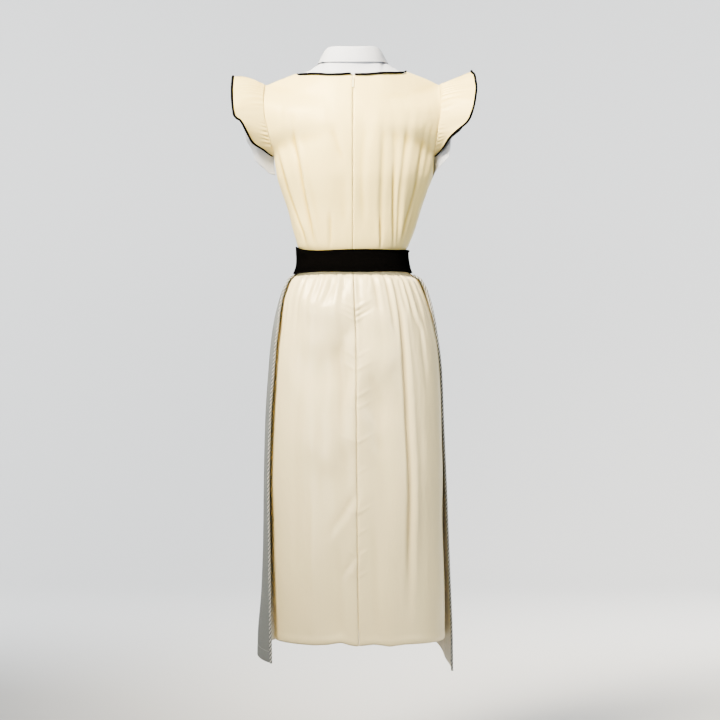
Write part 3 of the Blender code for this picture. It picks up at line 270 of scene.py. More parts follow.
def gather_wave(turn, count):
    """Crests of unequal width, -1 to 1, going round as turn goes from 0 to 360."""
    t = np.radians(turn)
    coarse = np.cos(count * t + 0.8 * np.sin(3 * t + 1.0) + 0.5 * np.sin(7 * t + 2.0))
    fine = np.cos(1.7 * count * t + 1.3 * np.sin(5 * t) + 0.7 * np.sin(11 * t + 1.0))
    return 0.68 * coarse + 0.32 * fine


def pucker_relief(x, z):
    """The centre back seam's groove, and small slanted wrinkles on both sides of it."""
    away = np.abs(x)
    rise = z - away * PUCKER_SLANT
    total = np.zeros(np.broadcast(x, z).shape)
    for pucker in PUCKERS:
        off = (rise - pucker.z) / PUCKER_TALL
        total = total + pucker.strength * PUCKER_DEEP * (0.9 - off * off) * np.exp(-off * off)
    total = total * np.where(x > 0, 1.0, PUCKER_LEFT) * np.exp(-((away / PUCKER_REACH) ** 1.5))
    ticks = np.sin(2 * math.pi * rise / TICK + 2.2 * np.sin(19 * z)) * (0.6 + 0.4 * np.sin(31 * z))
    return total + TICK_DEEP * ticks * np.exp(-away / TICK_REACH) - SEAM_DEEP * swell(away, 0.0, SEAM_WIDE)


def push_out(x, y, amount):
    """Move a point of a ring out from the ring's centre."""
    reach = np.maximum(np.hypot(x, y), 1e-6)
    return x * (1 + amount / reach), y * (1 + amount / reach)


def skirt(turn, z):
    """A point of the skirt. turn is 0 at the centre back, 90 at the wearer's right side."""
    angle, z = np.broadcast_arrays(np.radians(turn), z)
    behind = np.cos(angle)
    half = smooth(SKIRT_GIRTHS, "half", z)
    depth = np.where(behind < 0, smooth(SKIRT_GIRTHS, "front", z), smooth(SKIRT_GIRTHS, "back", z))
    x = power(np.sin(angle), SQUARENESS) * half
    y = depth * power(-behind, SQUARENESS)
    back_share = ease(*SIDE_COMES_IN, behind)
    back = crease_relief(SKIRT_CREASES, x, z, SKIRT_WIDENING) + drag_relief(SKIRT_DRAGS, x, z)
    front = crease_relief(FRONT_CREASES, x, z, SKIRT_WIDENING) * ease(*SIDE_COMES_IN, -behind)
    relief = smooth(SKIRT_GIRTHS, "gather", z) * (gather_wave(turn, SKIRT_GATHERS) - GATHER_REST)
    relief = relief + (back + pucker_relief(x, z)) * back_share + front
    relief = relief + undulation(x, z) * ease(*UNEVEN_FROM, -z)
    relief = relief + SIDE_FULLNESS * ease(*FULL_FROM, -z) * swell(np.abs(turn), *SIDE_FULL_AT)
    relief = relief + HEM_ROLL * swell(z, SKIRT_HEM + HEM_UP, HEM_ROLL_WIDE)
    relief = relief - HEM_TUCK * ease(-SKIRT_HEM - HEM_TUCK_UP, -SKIRT_HEM, -z)
    relief = relief - SIDE_SEAM_DEEP * swell(np.abs(turn), 90, SIDE_SEAM_WIDE)
    relief = np.maximum(relief, -0.5 * (half - LEAST_HALF))
    waved = np.interp(x, [row.x for row in HEM_WAVES], [row.z for row in HEM_WAVES])
    waved = waved * ease(HEM_WAVE_UP, 0.0, z - SKIRT_HEM) * back_share
    x, y = push_out(x, y, relief + HEM_WAVE_OUT * np.maximum(waved, 0.0))
    return np.stack([x + smooth(SKIRT_GIRTHS, "shift", z), y, z + waved], axis=-1)


def spaced(low, high, count):
    """Evenly spaced places from low to high, with both ends."""
    return np.linspace(low, high, count)


def unit(vectors):
    """Vectors brought to a length of 1."""
    return vectors / np.maximum(np.linalg.norm(vectors, axis=-1, keepdims=True), 1e-12)


def blurred(values, cells):
    """Running mean of a grid of points along both of its directions."""
    for axis in (0, 1):
        count = values.shape[axis]
        reach = min(cells, (count - 1) // 2)
        padding = [(0, 0)] * values.ndim
        padding[axis] = (reach + 1, reach)
        total = np.cumsum(np.pad(values, padding, mode="edge"), axis=axis)
        upper = np.take(total, np.arange(2 * reach + 1, 2 * reach + 1 + count), axis=axis)
        lower = np.take(total, np.arange(0, count), axis=axis)
        values = (upper - lower) / (2 * reach + 1)
    return values


def placed(name, mesh, *finishes):
    """An object of the garment with its mesh smooth-shaded and in its finishes."""
    mesh.shade_smooth()
    for finish in finishes:
        mesh.materials.append(finish)
    piece = bpy.data.objects.new(name, mesh)
    bpy.context.scene.collection.objects.link(piece)
    return piece


# The next three place the painted shade of folds: the span over which a fold's depth is measured, the band at
# the waist where it comes in, and the turn over which it fades towards a side.
FOLD_SPAN = 0.011  # distance over which a place is compared with the cloth round it
WAIST = -0.3690  # middle of the belt
WAIST_CALM = (0.026, 0.048)  # distances from there between which drawn-in cloth turns into folds
SIDE_CALM = 14  # degrees of turn over which folds fade out towards a side


def panel(name, surface, columns, rows, finishes, thickness, seams="", inward=1, depth=1.0, calm=None,
          painted_shade_creases=()):
    """A cut piece of cloth as a thin shell on a surface of turns and heights.

    seams names the edges that meet a neighbour: l, r for the columns, b, t for the rows.
    The weave follows the cloth through a UV map in metres, and a point attribute says how
    deep each point lies in a fold, which the finishes darken as painted shade: depth scales
    it, calm is the turn from where it fades out, and the creases of painted shade in the last
    argument are added to it.
    """
    grid_u, grid_v = np.meshgrid(columns, rows, indexing="ij")
    points = surface(grid_u, grid_v)
    for letter, edge, beside in (
        ("l", np.s_[0, :], np.s_[1, :]),
        ("r", np.s_[-1, :], np.s_[-2, :]),
        ("b", np.s_[:, 0], np.s_[:, 1]),
        ("t", np.s_[:, -1], np.s_[:, -2]),
    ):
        if letter in seams:
            points[edge] += unit(points[beside] - points[edge]) * SEAM_HALF
    across = np.linalg.norm(np.diff(points, axis=0), axis=-1)
    down = np.linalg.norm(np.diff(points, axis=1), axis=-1)
    width = np.concatenate([[0.0], np.cumsum(across.mean(axis=1))])
    length = np.concatenate([[0.0], np.cumsum(down.mean(axis=0))])
    normal = unit(np.cross(np.gradient(points, axis=0), np.gradient(points, axis=1))) * inward
    # How deep each point lies in a fold: the mask of the painted shade in the finishes.
    reach = max(2, int(FOLD_SPAN / max(float(np.median(across)), 1e-4)))
    fold = np.sum((blurred(points, reach) - points) * normal, axis=-1)
    fold = fold * depth * ease(*WAIST_CALM, np.abs(points[..., 2] - WAIST))
    fold = fold + crease_relief(painted_shade_creases, points[..., 0], points[..., 2])
    if calm is not None:
        fold = fold * ease(-calm, SIDE_CALM - calm, -np.abs(grid_u))

    index = np.arange(grid_u.size).reshape(grid_u.shape)
    corners = [index[:-1, :-1], index[1:, :-1], index[1:, 1:], index[:-1, 1:]]
    if inward < 0:
        corners.reverse()
    faces = np.stack([c.ravel() for c in corners], axis=-1)
    mesh = bpy.data.meshes.new(name)
    mesh.from_pydata(points.reshape(-1, 3).tolist(), [], faces.tolist())
    weave = mesh.uv_layers.new(name="weave")
    uv = np.stack(np.meshgrid(width, length, indexing="ij"), axis=-1).reshape(-1, 2)
    weave.data.foreach_set("uv", uv[faces.ravel()].astype(np.float32).ravel())
    attribute = mesh.attributes.new("fold", "FLOAT", "POINT")
    attribute.data.foreach_set("value", fold.astype(np.float32).ravel())
    piece = placed(name, mesh, *finishes)
    solid = piece.modifiers.new("cloth", "SOLIDIFY")
    solid.thickness = thickness
    solid.offset = -1
    solid.material_offset = len(finishes) - 1
    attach(piece, "garment")
    return piece


def node_in(tree, kind, **inputs):
    """A node with its inputs' values, or links where a socket is given."""
    node = tree.nodes.new(kind)
    for name, value in inputs.items():
        socket = node.inputs[int(name[1:])] if name[0] == "n" and name[1:].isdigit() else node.inputs[name]
        if isinstance(value, bpy.types.NodeSocket):
            tree.links.new(value, socket)
        else:
            socket.default_value = value
    return node


def maths(tree, operation, *values):
    """The output of a Math node."""
    node = node_in(tree, "ShaderNodeMath", **{f"n{i}": value for i, value in enumerate(values)})
    node.operation = operation
    return node.outputs[0]


def new_group(name, inputs, outputs):
    """A shader node group with named sockets: its tree, its input node and its output node."""
    tree = bpy.data.node_groups.new(name, "ShaderNodeTree")
    for label, kind, value in inputs:
        socket = tree.interface.new_socket(label, in_out="INPUT", socket_type=kind)
        if value is not None:
            socket.default_value = value
    for label, kind in outputs:
        tree.interface.new_socket(label, in_out="OUTPUT", socket_type=kind)
    return tree, tree.nodes.new("NodeGroupInput"), tree.nodes.new("NodeGroupOutput")


# Threads of a weave, read from a UV map in metres. Float is 0 for a plain weave and 1
# where the lengthwise threads lie on top, as in satin.
threads, ins, outs = new_group(
    "woven_threads",
    [
        ("UV", "NodeSocketVector", None),
        ("Pitch", "NodeSocketFloat", 0.0005),
        ("Float", "NodeSocketFloat", 0.0),
    ],
    [("Height", "NodeSocketFloat"), ("Slub", "NodeSocketFloat")],
)
place = node_in(threads, "ShaderNodeSeparateXYZ", Vector=ins.outputs["UV"])
rate = maths(threads, "DIVIDE", 2 * math.pi, ins.outputs["Pitch"])
warp = maths(threads, "SINE", maths(threads, "MULTIPLY", place.outputs["X"], rate))
weft = maths(threads, "SINE", maths(threads, "MULTIPLY", place.outputs["Y"], rate))
share = maths(threads, "SUBTRACT", 1.0, ins.outputs["Float"])
plain = maths(threads, "MULTIPLY", maths(threads, "MULTIPLY", warp, weft), share)
height = maths(threads, "ADD", plain, maths(threads, "MULTIPLY", warp, ins.outputs["Float"]))
stretch = node_in(threads, "ShaderNodeMapping", Vector=ins.outputs["UV"], Scale=(900.0, 60.0, 1.0))
lengthwise = node_in(threads, "ShaderNodeTexNoise", Vector=stretch.outputs[0], Scale=1.0, Detail=2.0)
stretch = node_in(threads, "ShaderNodeMapping", Vector=ins.outputs["UV"], Scale=(60.0, 900.0, 1.0))
crosswise = node_in(threads, "ShaderNodeTexNoise", Vector=stretch.outputs[0], Scale=1.0, Detail=2.0)
slub = maths(threads, "ADD", lengthwise.outputs[0], crosswise.outputs[0])
threads.links.new(height, outs.inputs["Height"])
threads.links.new(maths(threads, "MULTIPLY", slub, 0.5), outs.inputs["Slub"])

# Painted shade: where cloth lies in a fold, its colour is mixed toward a darker, warmer one,
# standing in for the shade there and for light that has passed through the cloth and comes back warmer.
painted_fold_shade, ins, outs = new_group(
    "painted_fold_shade",
    [
        ("Cloth", "NodeSocketColor", None),
        ("Shade In Folds", "NodeSocketColor", None),
        ("Depth", "NodeSocketFloat", 0.0),
        ("Full Depth", "NodeSocketFloat", 0.003),
        ("Slub", "NodeSocketFloat", 0.5),
        ("Unevenness", "NodeSocketFloat", 0.05),
    ],
    [("Color", "NodeSocketColor")],
)
depth_share = maths(painted_fold_shade, "DIVIDE", ins.outputs["Depth"], ins.outputs["Full Depth"])
clamped = node_in(painted_fold_shade, "ShaderNodeClamp", Value=depth_share)
tinted = node_in(painted_fold_shade, "ShaderNodeMix")
tinted.data_type = "RGBA"
painted_fold_shade.links.new(clamped.outputs[0], tinted.inputs[0])
painted_fold_shade.links.new(ins.outputs["Cloth"], tinted.inputs[6])
painted_fold_shade.links.new(ins.outputs["Shade In Folds"], tinted.inputs[7])
speck = maths(painted_fold_shade, "SUBTRACT", ins.outputs["Slub"], 0.5)
shade = maths(painted_fold_shade, "ADD", 1.0, maths(painted_fold_shade, "MULTIPLY", speck, ins.outputs["Unevenness"]))
evened = node_in(painted_fold_shade, "ShaderNodeVectorMath", n0=tinted.outputs[2], n3=1.0)
evened.operation = "SCALE"
painted_fold_shade.links.new(shade, evened.inputs["Scale"])
painted_fold_shade.links.new(evened.outputs[0], outs.inputs["Color"])


def cloth_finish(name, colour, shade_in_folds, roughness, pitch, floats, bump, full_depth=0.003,
                 unevenness=0.08, specular=0.5, gleam=(1.0, 1.0, 1.0), crumple=0.0004):
    """A woven cloth: its colour, the painted shade of its colour deep in folds, its gloss, threads and faint
    crumples.
    """
    made = bpy.data.materials.new(name)
    made.use_nodes = True
    tree = made.node_tree
    shader = tree.nodes["Principled BSDF"]
    uv = tree.nodes.new("ShaderNodeUVMap")
    uv.uv_map = "weave"
    fold = tree.nodes.new("ShaderNodeAttribute")
    fold.attribute_name = "fold"
    weave = node_in(tree, "ShaderNodeGroup")
    weave.node_tree = threads
    tree.links.new(uv.outputs[0], weave.inputs["UV"])
    weave.inputs["Pitch"].default_value = pitch
    weave.inputs["Float"].default_value = floats
    fold_shade_node = node_in(tree, "ShaderNodeGroup")
    fold_shade_node.node_tree = painted_fold_shade
    fold_shade_node.inputs["Cloth"].default_value = (*colour, 1.0)
    fold_shade_node.inputs["Shade In Folds"].default_value = (*shade_in_folds, 1.0)
    fold_shade_node.inputs["Full Depth"].default_value = full_depth
    fold_shade_node.inputs["Unevenness"].default_value = unevenness
    tree.links.new(fold.outputs["Fac"], fold_shade_node.inputs["Depth"])
    tree.links.new(weave.outputs["Slub"], fold_shade_node.inputs["Slub"])
    tree.links.new(fold_shade_node.outputs["Color"], shader.inputs["Base Color"])
    stretch = node_in(tree, "ShaderNodeMapping", Vector=uv.outputs[0], Scale=(1.0, 0.35, 1.0))
    crushed = node_in(
        tree, "ShaderNodeTexNoise", Vector=stretch.outputs[0], Scale=48.0, Detail=2.5, Roughness=0.45
    )
    soft = node_in(tree, "ShaderNodeBump", Strength=0.8, Distance=crumple, Height=crushed.outputs[0])
    relief = node_in(
        tree, "ShaderNodeBump", Strength=bump, Distance=pitch, Height=weave.outputs["Height"],
        Normal=soft.outputs[0],
    )
    tree.links.new(relief.outputs[0], shader.inputs["Normal"])
    gloss = maths(tree, "ADD", roughness - 0.05, maths(tree, "MULTIPLY", weave.outputs["Slub"], 0.1))
    tree.links.new(gloss, shader.inputs["Roughness"])
    shader.inputs["Specular IOR Level"].default_value = specular
    shader.inputs["Specular Tint"].default_value = (*gleam, 1.0)
    return made


# Its second colour is the painted shade deep in folds.
satin = cloth_finish(
    "cream_satin_cloth", (0.800, 0.652, 0.340), (0.590, 0.455, 0.215), 0.31, 0.00030, 0.85, 0.08,
    full_depth=0.0024, specular=0.62, gleam=(1.0, 0.90, 0.68), crumple=0.0022,
)

SKIRT_ROWS = spaced(SKIRT_HEM, SKIRT_TOP, 230)
# The painted shade in the back's folds fades out from this turn.
SKIRT_SIDES = 84  # turn from where the back's folds fade out
# On the back panels, shade holds creases that only paint shade into the colour.
for name, columns, rows, calm, shade, flat in (
    ("skirt_back_left", spaced(-90, 0, 112), SKIRT_ROWS, SKIRT_SIDES, SKIRT_PAINTED_SHADE, (0.255, 0.800)),
    ("skirt_back_right", spaced(0, 90, 112), SKIRT_ROWS, SKIRT_SIDES, SKIRT_PAINTED_SHADE, (0.255, 0.800)),
    ("skirt_front", spaced(90, 270, 140), SKIRT_ROWS[::2], None, (), (0.500, 0.800)),
):
    piece = panel(f"satin_{name}", skirt, columns, rows, [satin], SATIN, "lr", depth=0.8, calm=calm,
                  painted_shade_creases=shade)
    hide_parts(name)

# ------------------------------------------------------------------------ bodice
# The satin bodice has two back panels, closed by the hidden zip, and one front panel. It
# is bloused over the belt, so soft creases rise from the waist and fade on the shoulders.

Torso = namedtuple("Torso", "z shift half back front")
TORSO = [
    Torso(-0.3660, 0.0000, 0.1065, 0.0785, 0.0810),
    Torso(-0.3500, 0.0000, 0.1055, 0.0778, 0.0810),
    Torso(-0.3440, 0.0000, 0.1095, 0.0812, 0.0860),
    Torso(-0.3370, 0.0000, 0.1140, 0.0838, 0.0900),
    Torso(-0.3230, 0.0010, 0.1190, 0.0870, 0.0950),
    Torso(-0.3020, 0.0020, 0.1263, 0.0900, 0.0990),
    Torso(-0.2610, 0.0030, 0.1377, 0.0960, 0.1080),
    Torso(-0.2190, 0.0030, 0.1522, 0.1040, 0.1200),
    Torso(-0.1900, 0.0040, 0.1615, 0.1080, 0.1250),
    Torso(-0.1490, 0.0020, 0.1656, 0.1090, 0.1210),
    Torso(-0.1030, 0.0000, 0.1735, 0.1050, 0.1095),
    Torso(-0.0640, -0.0010, 0.1800, 0.0955, 0.0955),
    Torso(-0.0300, -0.0015, 0.1810, 0.0830, 0.0800),
    Torso(0.0100, -0.0010, 0.1805, 0.0665, 0.0660),
    Torso(0.0450, 0.0000, 0.1800, 0.0560, 0.0560),
]
# Height of an edge at each distance to the wearer's right: the line where the cloth turns
# over the shoulders and meets the neck, and the dress's neckline.
Crest = namedtuple("Crest", "x z")
SHOULDER_LEFT = [Crest(-0.1770, -0.0085), Crest(-0.1500, 0.0025), Crest(-0.1150, 0.0160),
                 Crest(-0.0900, 0.0275), Crest(-0.0610, 0.0440)]
SHOULDER_RIGHT = [Crest(0.0610, 0.0440), Crest(0.0900, 0.0300), Crest(0.1150, 0.0185),
                  Crest(0.1500, 0.0050), Crest(0.1770, -0.0080)]
CREST_BACK = [*SHOULDER_LEFT, Crest(0.0000, 0.0380), *SHOULDER_RIGHT]
CREST_FRONT = [*SHOULDER_LEFT, Crest(-0.0400, 0.0080), Crest(0.0000, -0.0160), Crest(0.0400, 0.0080),
               *SHOULDER_RIGHT]
NECKLINE_BACK = [Crest(-0.1180, 0.0220), Crest(-0.1100, 0.0138), Crest(-0.0900, 0.0132),
                 Crest(-0.0700, 0.0118), Crest(-0.0480, 0.0096), Crest(-0.0260, 0.0098),
                 Crest(-0.0060, 0.0112), Crest(0.0060, 0.0098), Crest(0.0250, 0.0100),
                 Crest(0.0570, 0.0130), Crest(0.1020, 0.0174), Crest(0.1120, 0.0225)]
NECKLINE_FRONT = [Crest(-0.1180, 0.0220), Crest(-0.0880, -0.0300), Crest(0.0000, -0.0620),
                  Crest(0.0840, -0.0300), Crest(0.1120, 0.0255)]
NECK_HALF = 0.0610
NECK_BACK = 0.0540
NECK_FRONT = 0.0640
NECKLINE_REACH = 0.118
SHOULDER_ROUND = 0.0550
ARM_HUG = 11.0  # how fast the armhole's ends draw in to the body
ARM_OPENING = (-0.1780, -0.0850)  # heights between which the chest's section turns into the shoulders'
SHOULDER_SECTION = 2.6  # exponent of the shoulders' section, the higher the flatter its back
SATIN_SWAY = 0.6  # share of the skirt's unevenness that the bodice and blouse have
ZIP_GROOVE = (0.0006, 0.0015)  # depth and width of the groove over the hidden zip
ZIP_RIDGE = (0.0002, 0.0022)  # height and width of the soft ridges beside it
ZIP_RIDGE_OFF = 0.0050
UPPER_WIDENING = 0.6  # how much wider, as a share, the bodice's creases are at the top

# How a garment's upper body is cut: how far it lies inside the dress, how far its shoulder
# stands over the blouse's, its lower edge, its armhole's ends and depths, its creases.
Cut = namedtuple("Cut", "inset over low underarm shoulder arm_back arm_front creases front_creases")
DRESS_CREASES = [
    Crease(((-0.125, -0.075), (-0.123, -0.100), (-0.119, -0.135), (-0.112, -0.172), (-0.101, -0.235),
            (-0.089, -0.286), (-0.077, -0.345)), 0.0042, 0.0050, 0.7),
    Crease(((-0.158, -0.140), (-0.135, -0.223), (-0.118, -0.271), (-0.100, -0.319), (-0.096, -0.341)),
           0.0040, 0.0046, 0.9),
    Crease(((-0.047, -0.270), (-0.046, -0.345)), 0.0030, 0.0026, -0.5),
    Crease(((-0.044, -0.095), (-0.034, -0.130), (-0.021, -0.168)), 0.0070, 0.0026, 0.5),
    Crease(((-0.088, -0.215), (-0.070, -0.345)), 0.0080, 0.0018, -0.4),
    Crease(((0.026, -0.070), (0.018, -0.200), (0.021, -0.300)), 0.0080, 0.0026, 0.5),
    Crease(((0.062, -0.080), (0.061, -0.160), (0.058, -0.260), (0.0576, -0.345)), 0.0048, 0.0024, -0.5),
    Crease(((0.0580, -0.280), (0.0576, -0.345)), 0.0026, 0.0022, -0.5),
    Crease(((0.087, -0.070), (0.086, -0.200), (0.085, -0.345)), 0.0050, 0.0022, 0.5),
    Crease(((0.086, -0.170), (0.085, -0.270), (0.083, -0.345)), 0.0026, 0.0030, 0.6),
    Crease(((0.096, -0.190), (0.091, -0.345)), 0.0028, 0.0022, 0.5),
    Crease(((0.118, -0.060), (0.104, -0.170), (0.096, -0.260), (0.089, -0.345)), 0.0042, 0.0024, 0.5),
    Crease(((0.150, -0.090), (0.130, -0.220), (0.109, -0.290), (0.094, -0.345)), 0.0038, 0.0036, 0.6),
    Crease(((0.166, -0.080), (0.140, -0.215), (0.124, -0.270), (0.104, -0.345)), 0.0040, 0.0030, 0.7),
    Crease(((-0.020, -0.190), (-0.018, -0.300)), 0.0090, 0.0018, 0.5),
    Crease(((-0.148, -0.050), (-0.150, -0.100)), 0.0060, 0.0014, 0.5),
]
# Painted shade, which darkens the colour only, in the deepest folds of the back, where only light that has
# passed through the satin arrives.
DRESS_PAINTED_SHADE = [
    Crease(((-0.155, -0.135), (-0.132, -0.223), (-0.114, -0.271), (-0.097, -0.319), (-0.092, -0.345)),
           0.0026, -0.0032, 0.0),
    Crease(((0.133, -0.190), (0.108, -0.290), (0.093, -0.345)), 0.0022, -0.0008, 0.0),
]
DRESS_FRONT_CREASES = [
    Crease(((-0.066, -0.180), (-0.058, -0.345)), 0.0040, 0.0030, 0.6),
    Crease(((0.066, -0.180), (0.058, -0.345)), 0.0040, 0.0030, -0.6),
    Crease(((-0.132, -0.140), (-0.088, -0.345)), 0.0070, 0.0036, 0.6),
    Crease(((0.134, -0.140), (0.090, -0.345)), 0.0070, 0.0036, -0.6),
    Crease(((-0.034, -0.250), (-0.030, -0.345)), 0.0050, 0.0020, 0.5),
    Crease(((0.036, -0.230), (0.028, -0.345)), 0.0050, 0.0020, -0.5),
    Crease(((0.004, -0.270), (0.002, -0.345)), 0.0050, 0.0016, 0.5),
]
BLOUSE_CREASES = [
    Crease(((-0.070, 0.020), (-0.110, -0.060)), 0.0120, 0.0010, 0.6),
    Crease(((0.070, 0.020), (0.112, -0.060)), 0.0120, 0.0010, -0.6),
    Crease(((0.000, 0.020), (-0.012, -0.180)), 0.0140, 0.0012, 0.5),
    Crease(((-0.080, -0.080), (-0.070, -0.205)), 0.0100, 0.0014, 0.5),
    Crease(((0.084, -0.080), (0.074, -0.205)), 0.0100, 0.0014, -0.5),
]
# The bodice and flounces use the skirt's satin in a warmer, yellower colour, with a warmer painted shade in
# its folds, standing in for how the light falls on them: painted light.
satin_painted_warmer = cloth_finish(
    "cream_satin_bodice", (0.775, 0.597, 0.206), (0.630, 0.435, 0.080), 0.40, 0.00030, 0.85, 0.08,
    full_depth=0.0024, specular=0.45, gleam=(1.0, 0.88, 0.58), crumple=0.0016,
)
DRESS = Cut(0.0, 0.0060, -0.3660, -0.1500, -0.0022, 0.0550, 0.0510, DRESS_CREASES, DRESS_FRONT_CREASES)
BLOUSE = Cut(0.0060, 0.0, -0.2050, -0.1430, -0.0080, 0.0500, 0.0460, BLOUSE_CREASES, BLOUSE_CREASES)


def upper_body(cut, turn, level):
    """A point of the bodice or blouse, with turn as on the skirt.

    level runs from 0 at the lower edge to 1 at the underarm and 2 at the top edge.
    """
    turn, level = np.broadcast_arrays(np.radians(turn), level)
    front = np.cos(turn) < 0
    across = power(np.sin(turn), SQUARENESS)
    angle = math.pi * np.clip(level - 1.0, 0.0, 1.0)
    middle_z = (cut.underarm + cut.shoulder) / 2
    half_z = (cut.shoulder - cut.underarm) / 2
    rising = cut.low + (cut.underarm - cut.low) * np.clip(level, 0.0, 1.0)
    edge_z = np.where(level < 1, rising, middle_z - half_z * np.cos(angle))
    spread = np.clip((edge_z - cut.underarm) / (2 * half_z), 0.0, 1.0)
    half = smooth(TORSO, "half", edge_z) - cut.inset
    top_x = across * half
    crest_z = np.where(front, smooth(CREST_FRONT, "z", top_x), smooth(CREST_BACK, "z", top_x)) + cut.over
    top_z = crest_z
    if cut is DRESS:
        neckline = np.where(front, smooth(NECKLINE_FRONT, "z", top_x), smooth(NECKLINE_BACK, "z", top_x))
        top_z = np.where(np.abs(top_x) < NECKLINE_REACH, np.minimum(crest_z, neckline), crest_z)
    z = edge_z + (top_z - cut.shoulder) * spread

    depth = np.where(front, smooth(TORSO, "front", z), smooth(TORSO, "back", z)) - cut.inset
    arm_share = np.sqrt(np.maximum(1 - ((z - middle_z) / half_z) ** 2, 0.0))
    arm = np.where(front, cut.arm_front, cut.arm_back) * arm_share * (level > 1)
    closing = np.abs(np.cos(turn)) ** SQUARENESS
    shape = closing + (1 - np.abs(across) ** SHOULDER_SECTION - closing) * ease(*ARM_OPENING, edge_z)
    base = depth * shape + arm * np.maximum(1 - shape, 0.0) ** (1 + ARM_HUG * (1 - arm_share) ** 1.5)
    neck = np.where(front, NECK_FRONT, NECK_BACK) + cut.over
    top_y = neck * np.sqrt(np.maximum(1 - (top_x / (NECK_HALF + cut.over)) ** 2, 0.0))
    fall = np.clip((crest_z - z) / SHOULDER_ROUND, 0.0, 1.0)
    y = top_y + (base - top_y) * np.sqrt(np.maximum(1 - (1 - fall) ** 2, 0.0))
    y = np.where(front, y, -y)
    x = top_x + smooth(TORSO, "shift", edge_z) * np.abs(across)

    folds = (crease_relief(creases, x, z, UPPER_WIDENING) for creases in (cut.front_creases, cut.creases))
    relief = np.where(front, *folds)
    relief = relief + SATIN_SWAY * undulation(1.6 * x, z) * ease(0.36, 0.30, -z)
    relief = relief * ease(0.02, 0.35, np.abs(np.cos(turn)))
    if cut is DRESS:
        ridge = ZIP_RIDGE[0] * swell(np.abs(x), ZIP_RIDGE_OFF, ZIP_RIDGE[1])
        relief = relief + (ridge - ZIP_GROOVE[0] * swell(x, 0.0, ZIP_GROOVE[1])) * ~front
    x, y = push_out(x, y, relief)
    return np.stack([x, y, z], axis=-1)


def turn_at_x(x, cut):
    """Turn on the back at which a garment's top edge is this far across."""
    share = x / (smooth(TORSO, "half", cut.shoulder) - cut.inset)
    return math.degrees(math.asin(abs(share) ** (1 / SQUARENESS))) * math.copysign(1, x)


def joined(*stretches):
    """Columns of several stretches in a row, each (from, to, count), sharing their ends."""
    return np.concatenate([spaced(*stretches[0]), *(spaced(*stretch)[1:] for stretch in stretches[1:])])


def dress(turn, level):
    """A point of the bodice."""
    return upper_body(DRESS, turn, level)


EDGE = 1e-4  # keeps a column on its own side of a seam between back and front
NECK_LEFT = turn_at_x(-0.1160, DRESS)
NECK_RIGHT = turn_at_x(0.1120, DRESS)
BODICE_LEVELS = joined((0, 0.14, 18), (0.14, 1, 56), (1, 2, 56))
# On the back panels, shade holds creases that only paint shade into the colour.
for name, columns, flat in (
    ("bodice_back_left", joined((-90 + EDGE, NECK_LEFT, 44), (NECK_LEFT, 0, 46)), (0.225, 0.395)),
    ("bodice_back_right", joined((0, NECK_RIGHT, 46), (NECK_RIGHT, 90 - EDGE, 44)), (0.225, 0.395)),
    ("bodice_front", joined((90 + EDGE, 180 - NECK_RIGHT, 36), (180 - NECK_RIGHT, 180 - NECK_LEFT, 76),
                            (180 - NECK_LEFT, 270 - EDGE, 36)), (0.440, 0.395)),
):
    shade = DRESS_PAINTED_SHADE if "back" in name else ()
    piece = panel(f"satin_{name}", dress, columns, BODICE_LEVELS, [satin_painted_warmer], SATIN, "lrbt", depth=1.1,
                  painted_shade_creases=shade)
    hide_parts(name)

# --------------------------------------------------------------------- neck piping
# A cord covered in black cloth edges the neckline. It ends on each side of the zip, and
# its two halves behind are shown a little apart.

PIPING = 0.0025
ZIP_PARTING = 0.95  # turn at which each half ends beside the zip
CORD_END = 0.7  # length of a cord's rounded end, in radii
CORD_END_SIZE = 0.55
CORD_TAPER = 10  # a cord tapers over its length divided by this


def beside(edge, inside, distance, over=0.0):
    """Points off an edge, square to it: away from the points inside, and over the cloth's outside."""
    along = unit(np.gradient(edge, axis=0))
    away = edge - inside
    away = unit(away - along * np.sum(away * along, axis=-1, keepdims=True))
    return edge + away * distance + np.cross(along, away) * over


def cord(name, path, radius, finish, sides=10, taper=(0.0, 0.0)):
    """A round cord along a path, its ends rounded over and each thinner by its share of taper."""
    tangent = unit(np.gradient(path, axis=0))
    first = path[0] - tangent[0] * radius * CORD_END
    last = path[-1] + tangent[-1] * radius * CORD_END
    path = np.vstack([first, path, last])
    tangent = np.vstack([tangent[:1], tangent, tangent[-1:]])
    up = np.array([0.3, 0.2, 1.0])
    turns = spaced(0, 2 * math.pi, sides + 1)[:-1, None]
    rings = []
    for number, (point, along) in enumerate(zip(path, tangent)):
        up = up - along * np.dot(up, along)
        up = up / np.linalg.norm(up)
        from_end = len(path) - 1 - number
        size = radius * (CORD_END_SIZE if number == 0 or from_end == 0 else 1.0)
        for share, places in zip(taper, (number, from_end)):
            size = size * (1 - share * max(0.0, 1 - CORD_TAPER * places / len(path)))
        rings.append(point + size * (np.cos(turns) * up + np.sin(turns) * np.cross(along, up)))
    faces = []
    for i in range(len(path) - 1):
        for j in range(sides):
            k = (j + 1) % sides
            faces.append((i * sides + j, i * sides + k, (i + 1) * sides + k, (i + 1) * sides + j))
    faces.append(tuple(range(sides))[::-1])
    faces.append(tuple(range((len(path) - 1) * sides, len(path) * sides)))
    mesh = bpy.data.meshes.new(name)
    mesh.from_pydata(np.concatenate(rings).tolist(), [], faces)
    piece = placed(name, mesh, finish)
    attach(piece, "garment")
    return piece


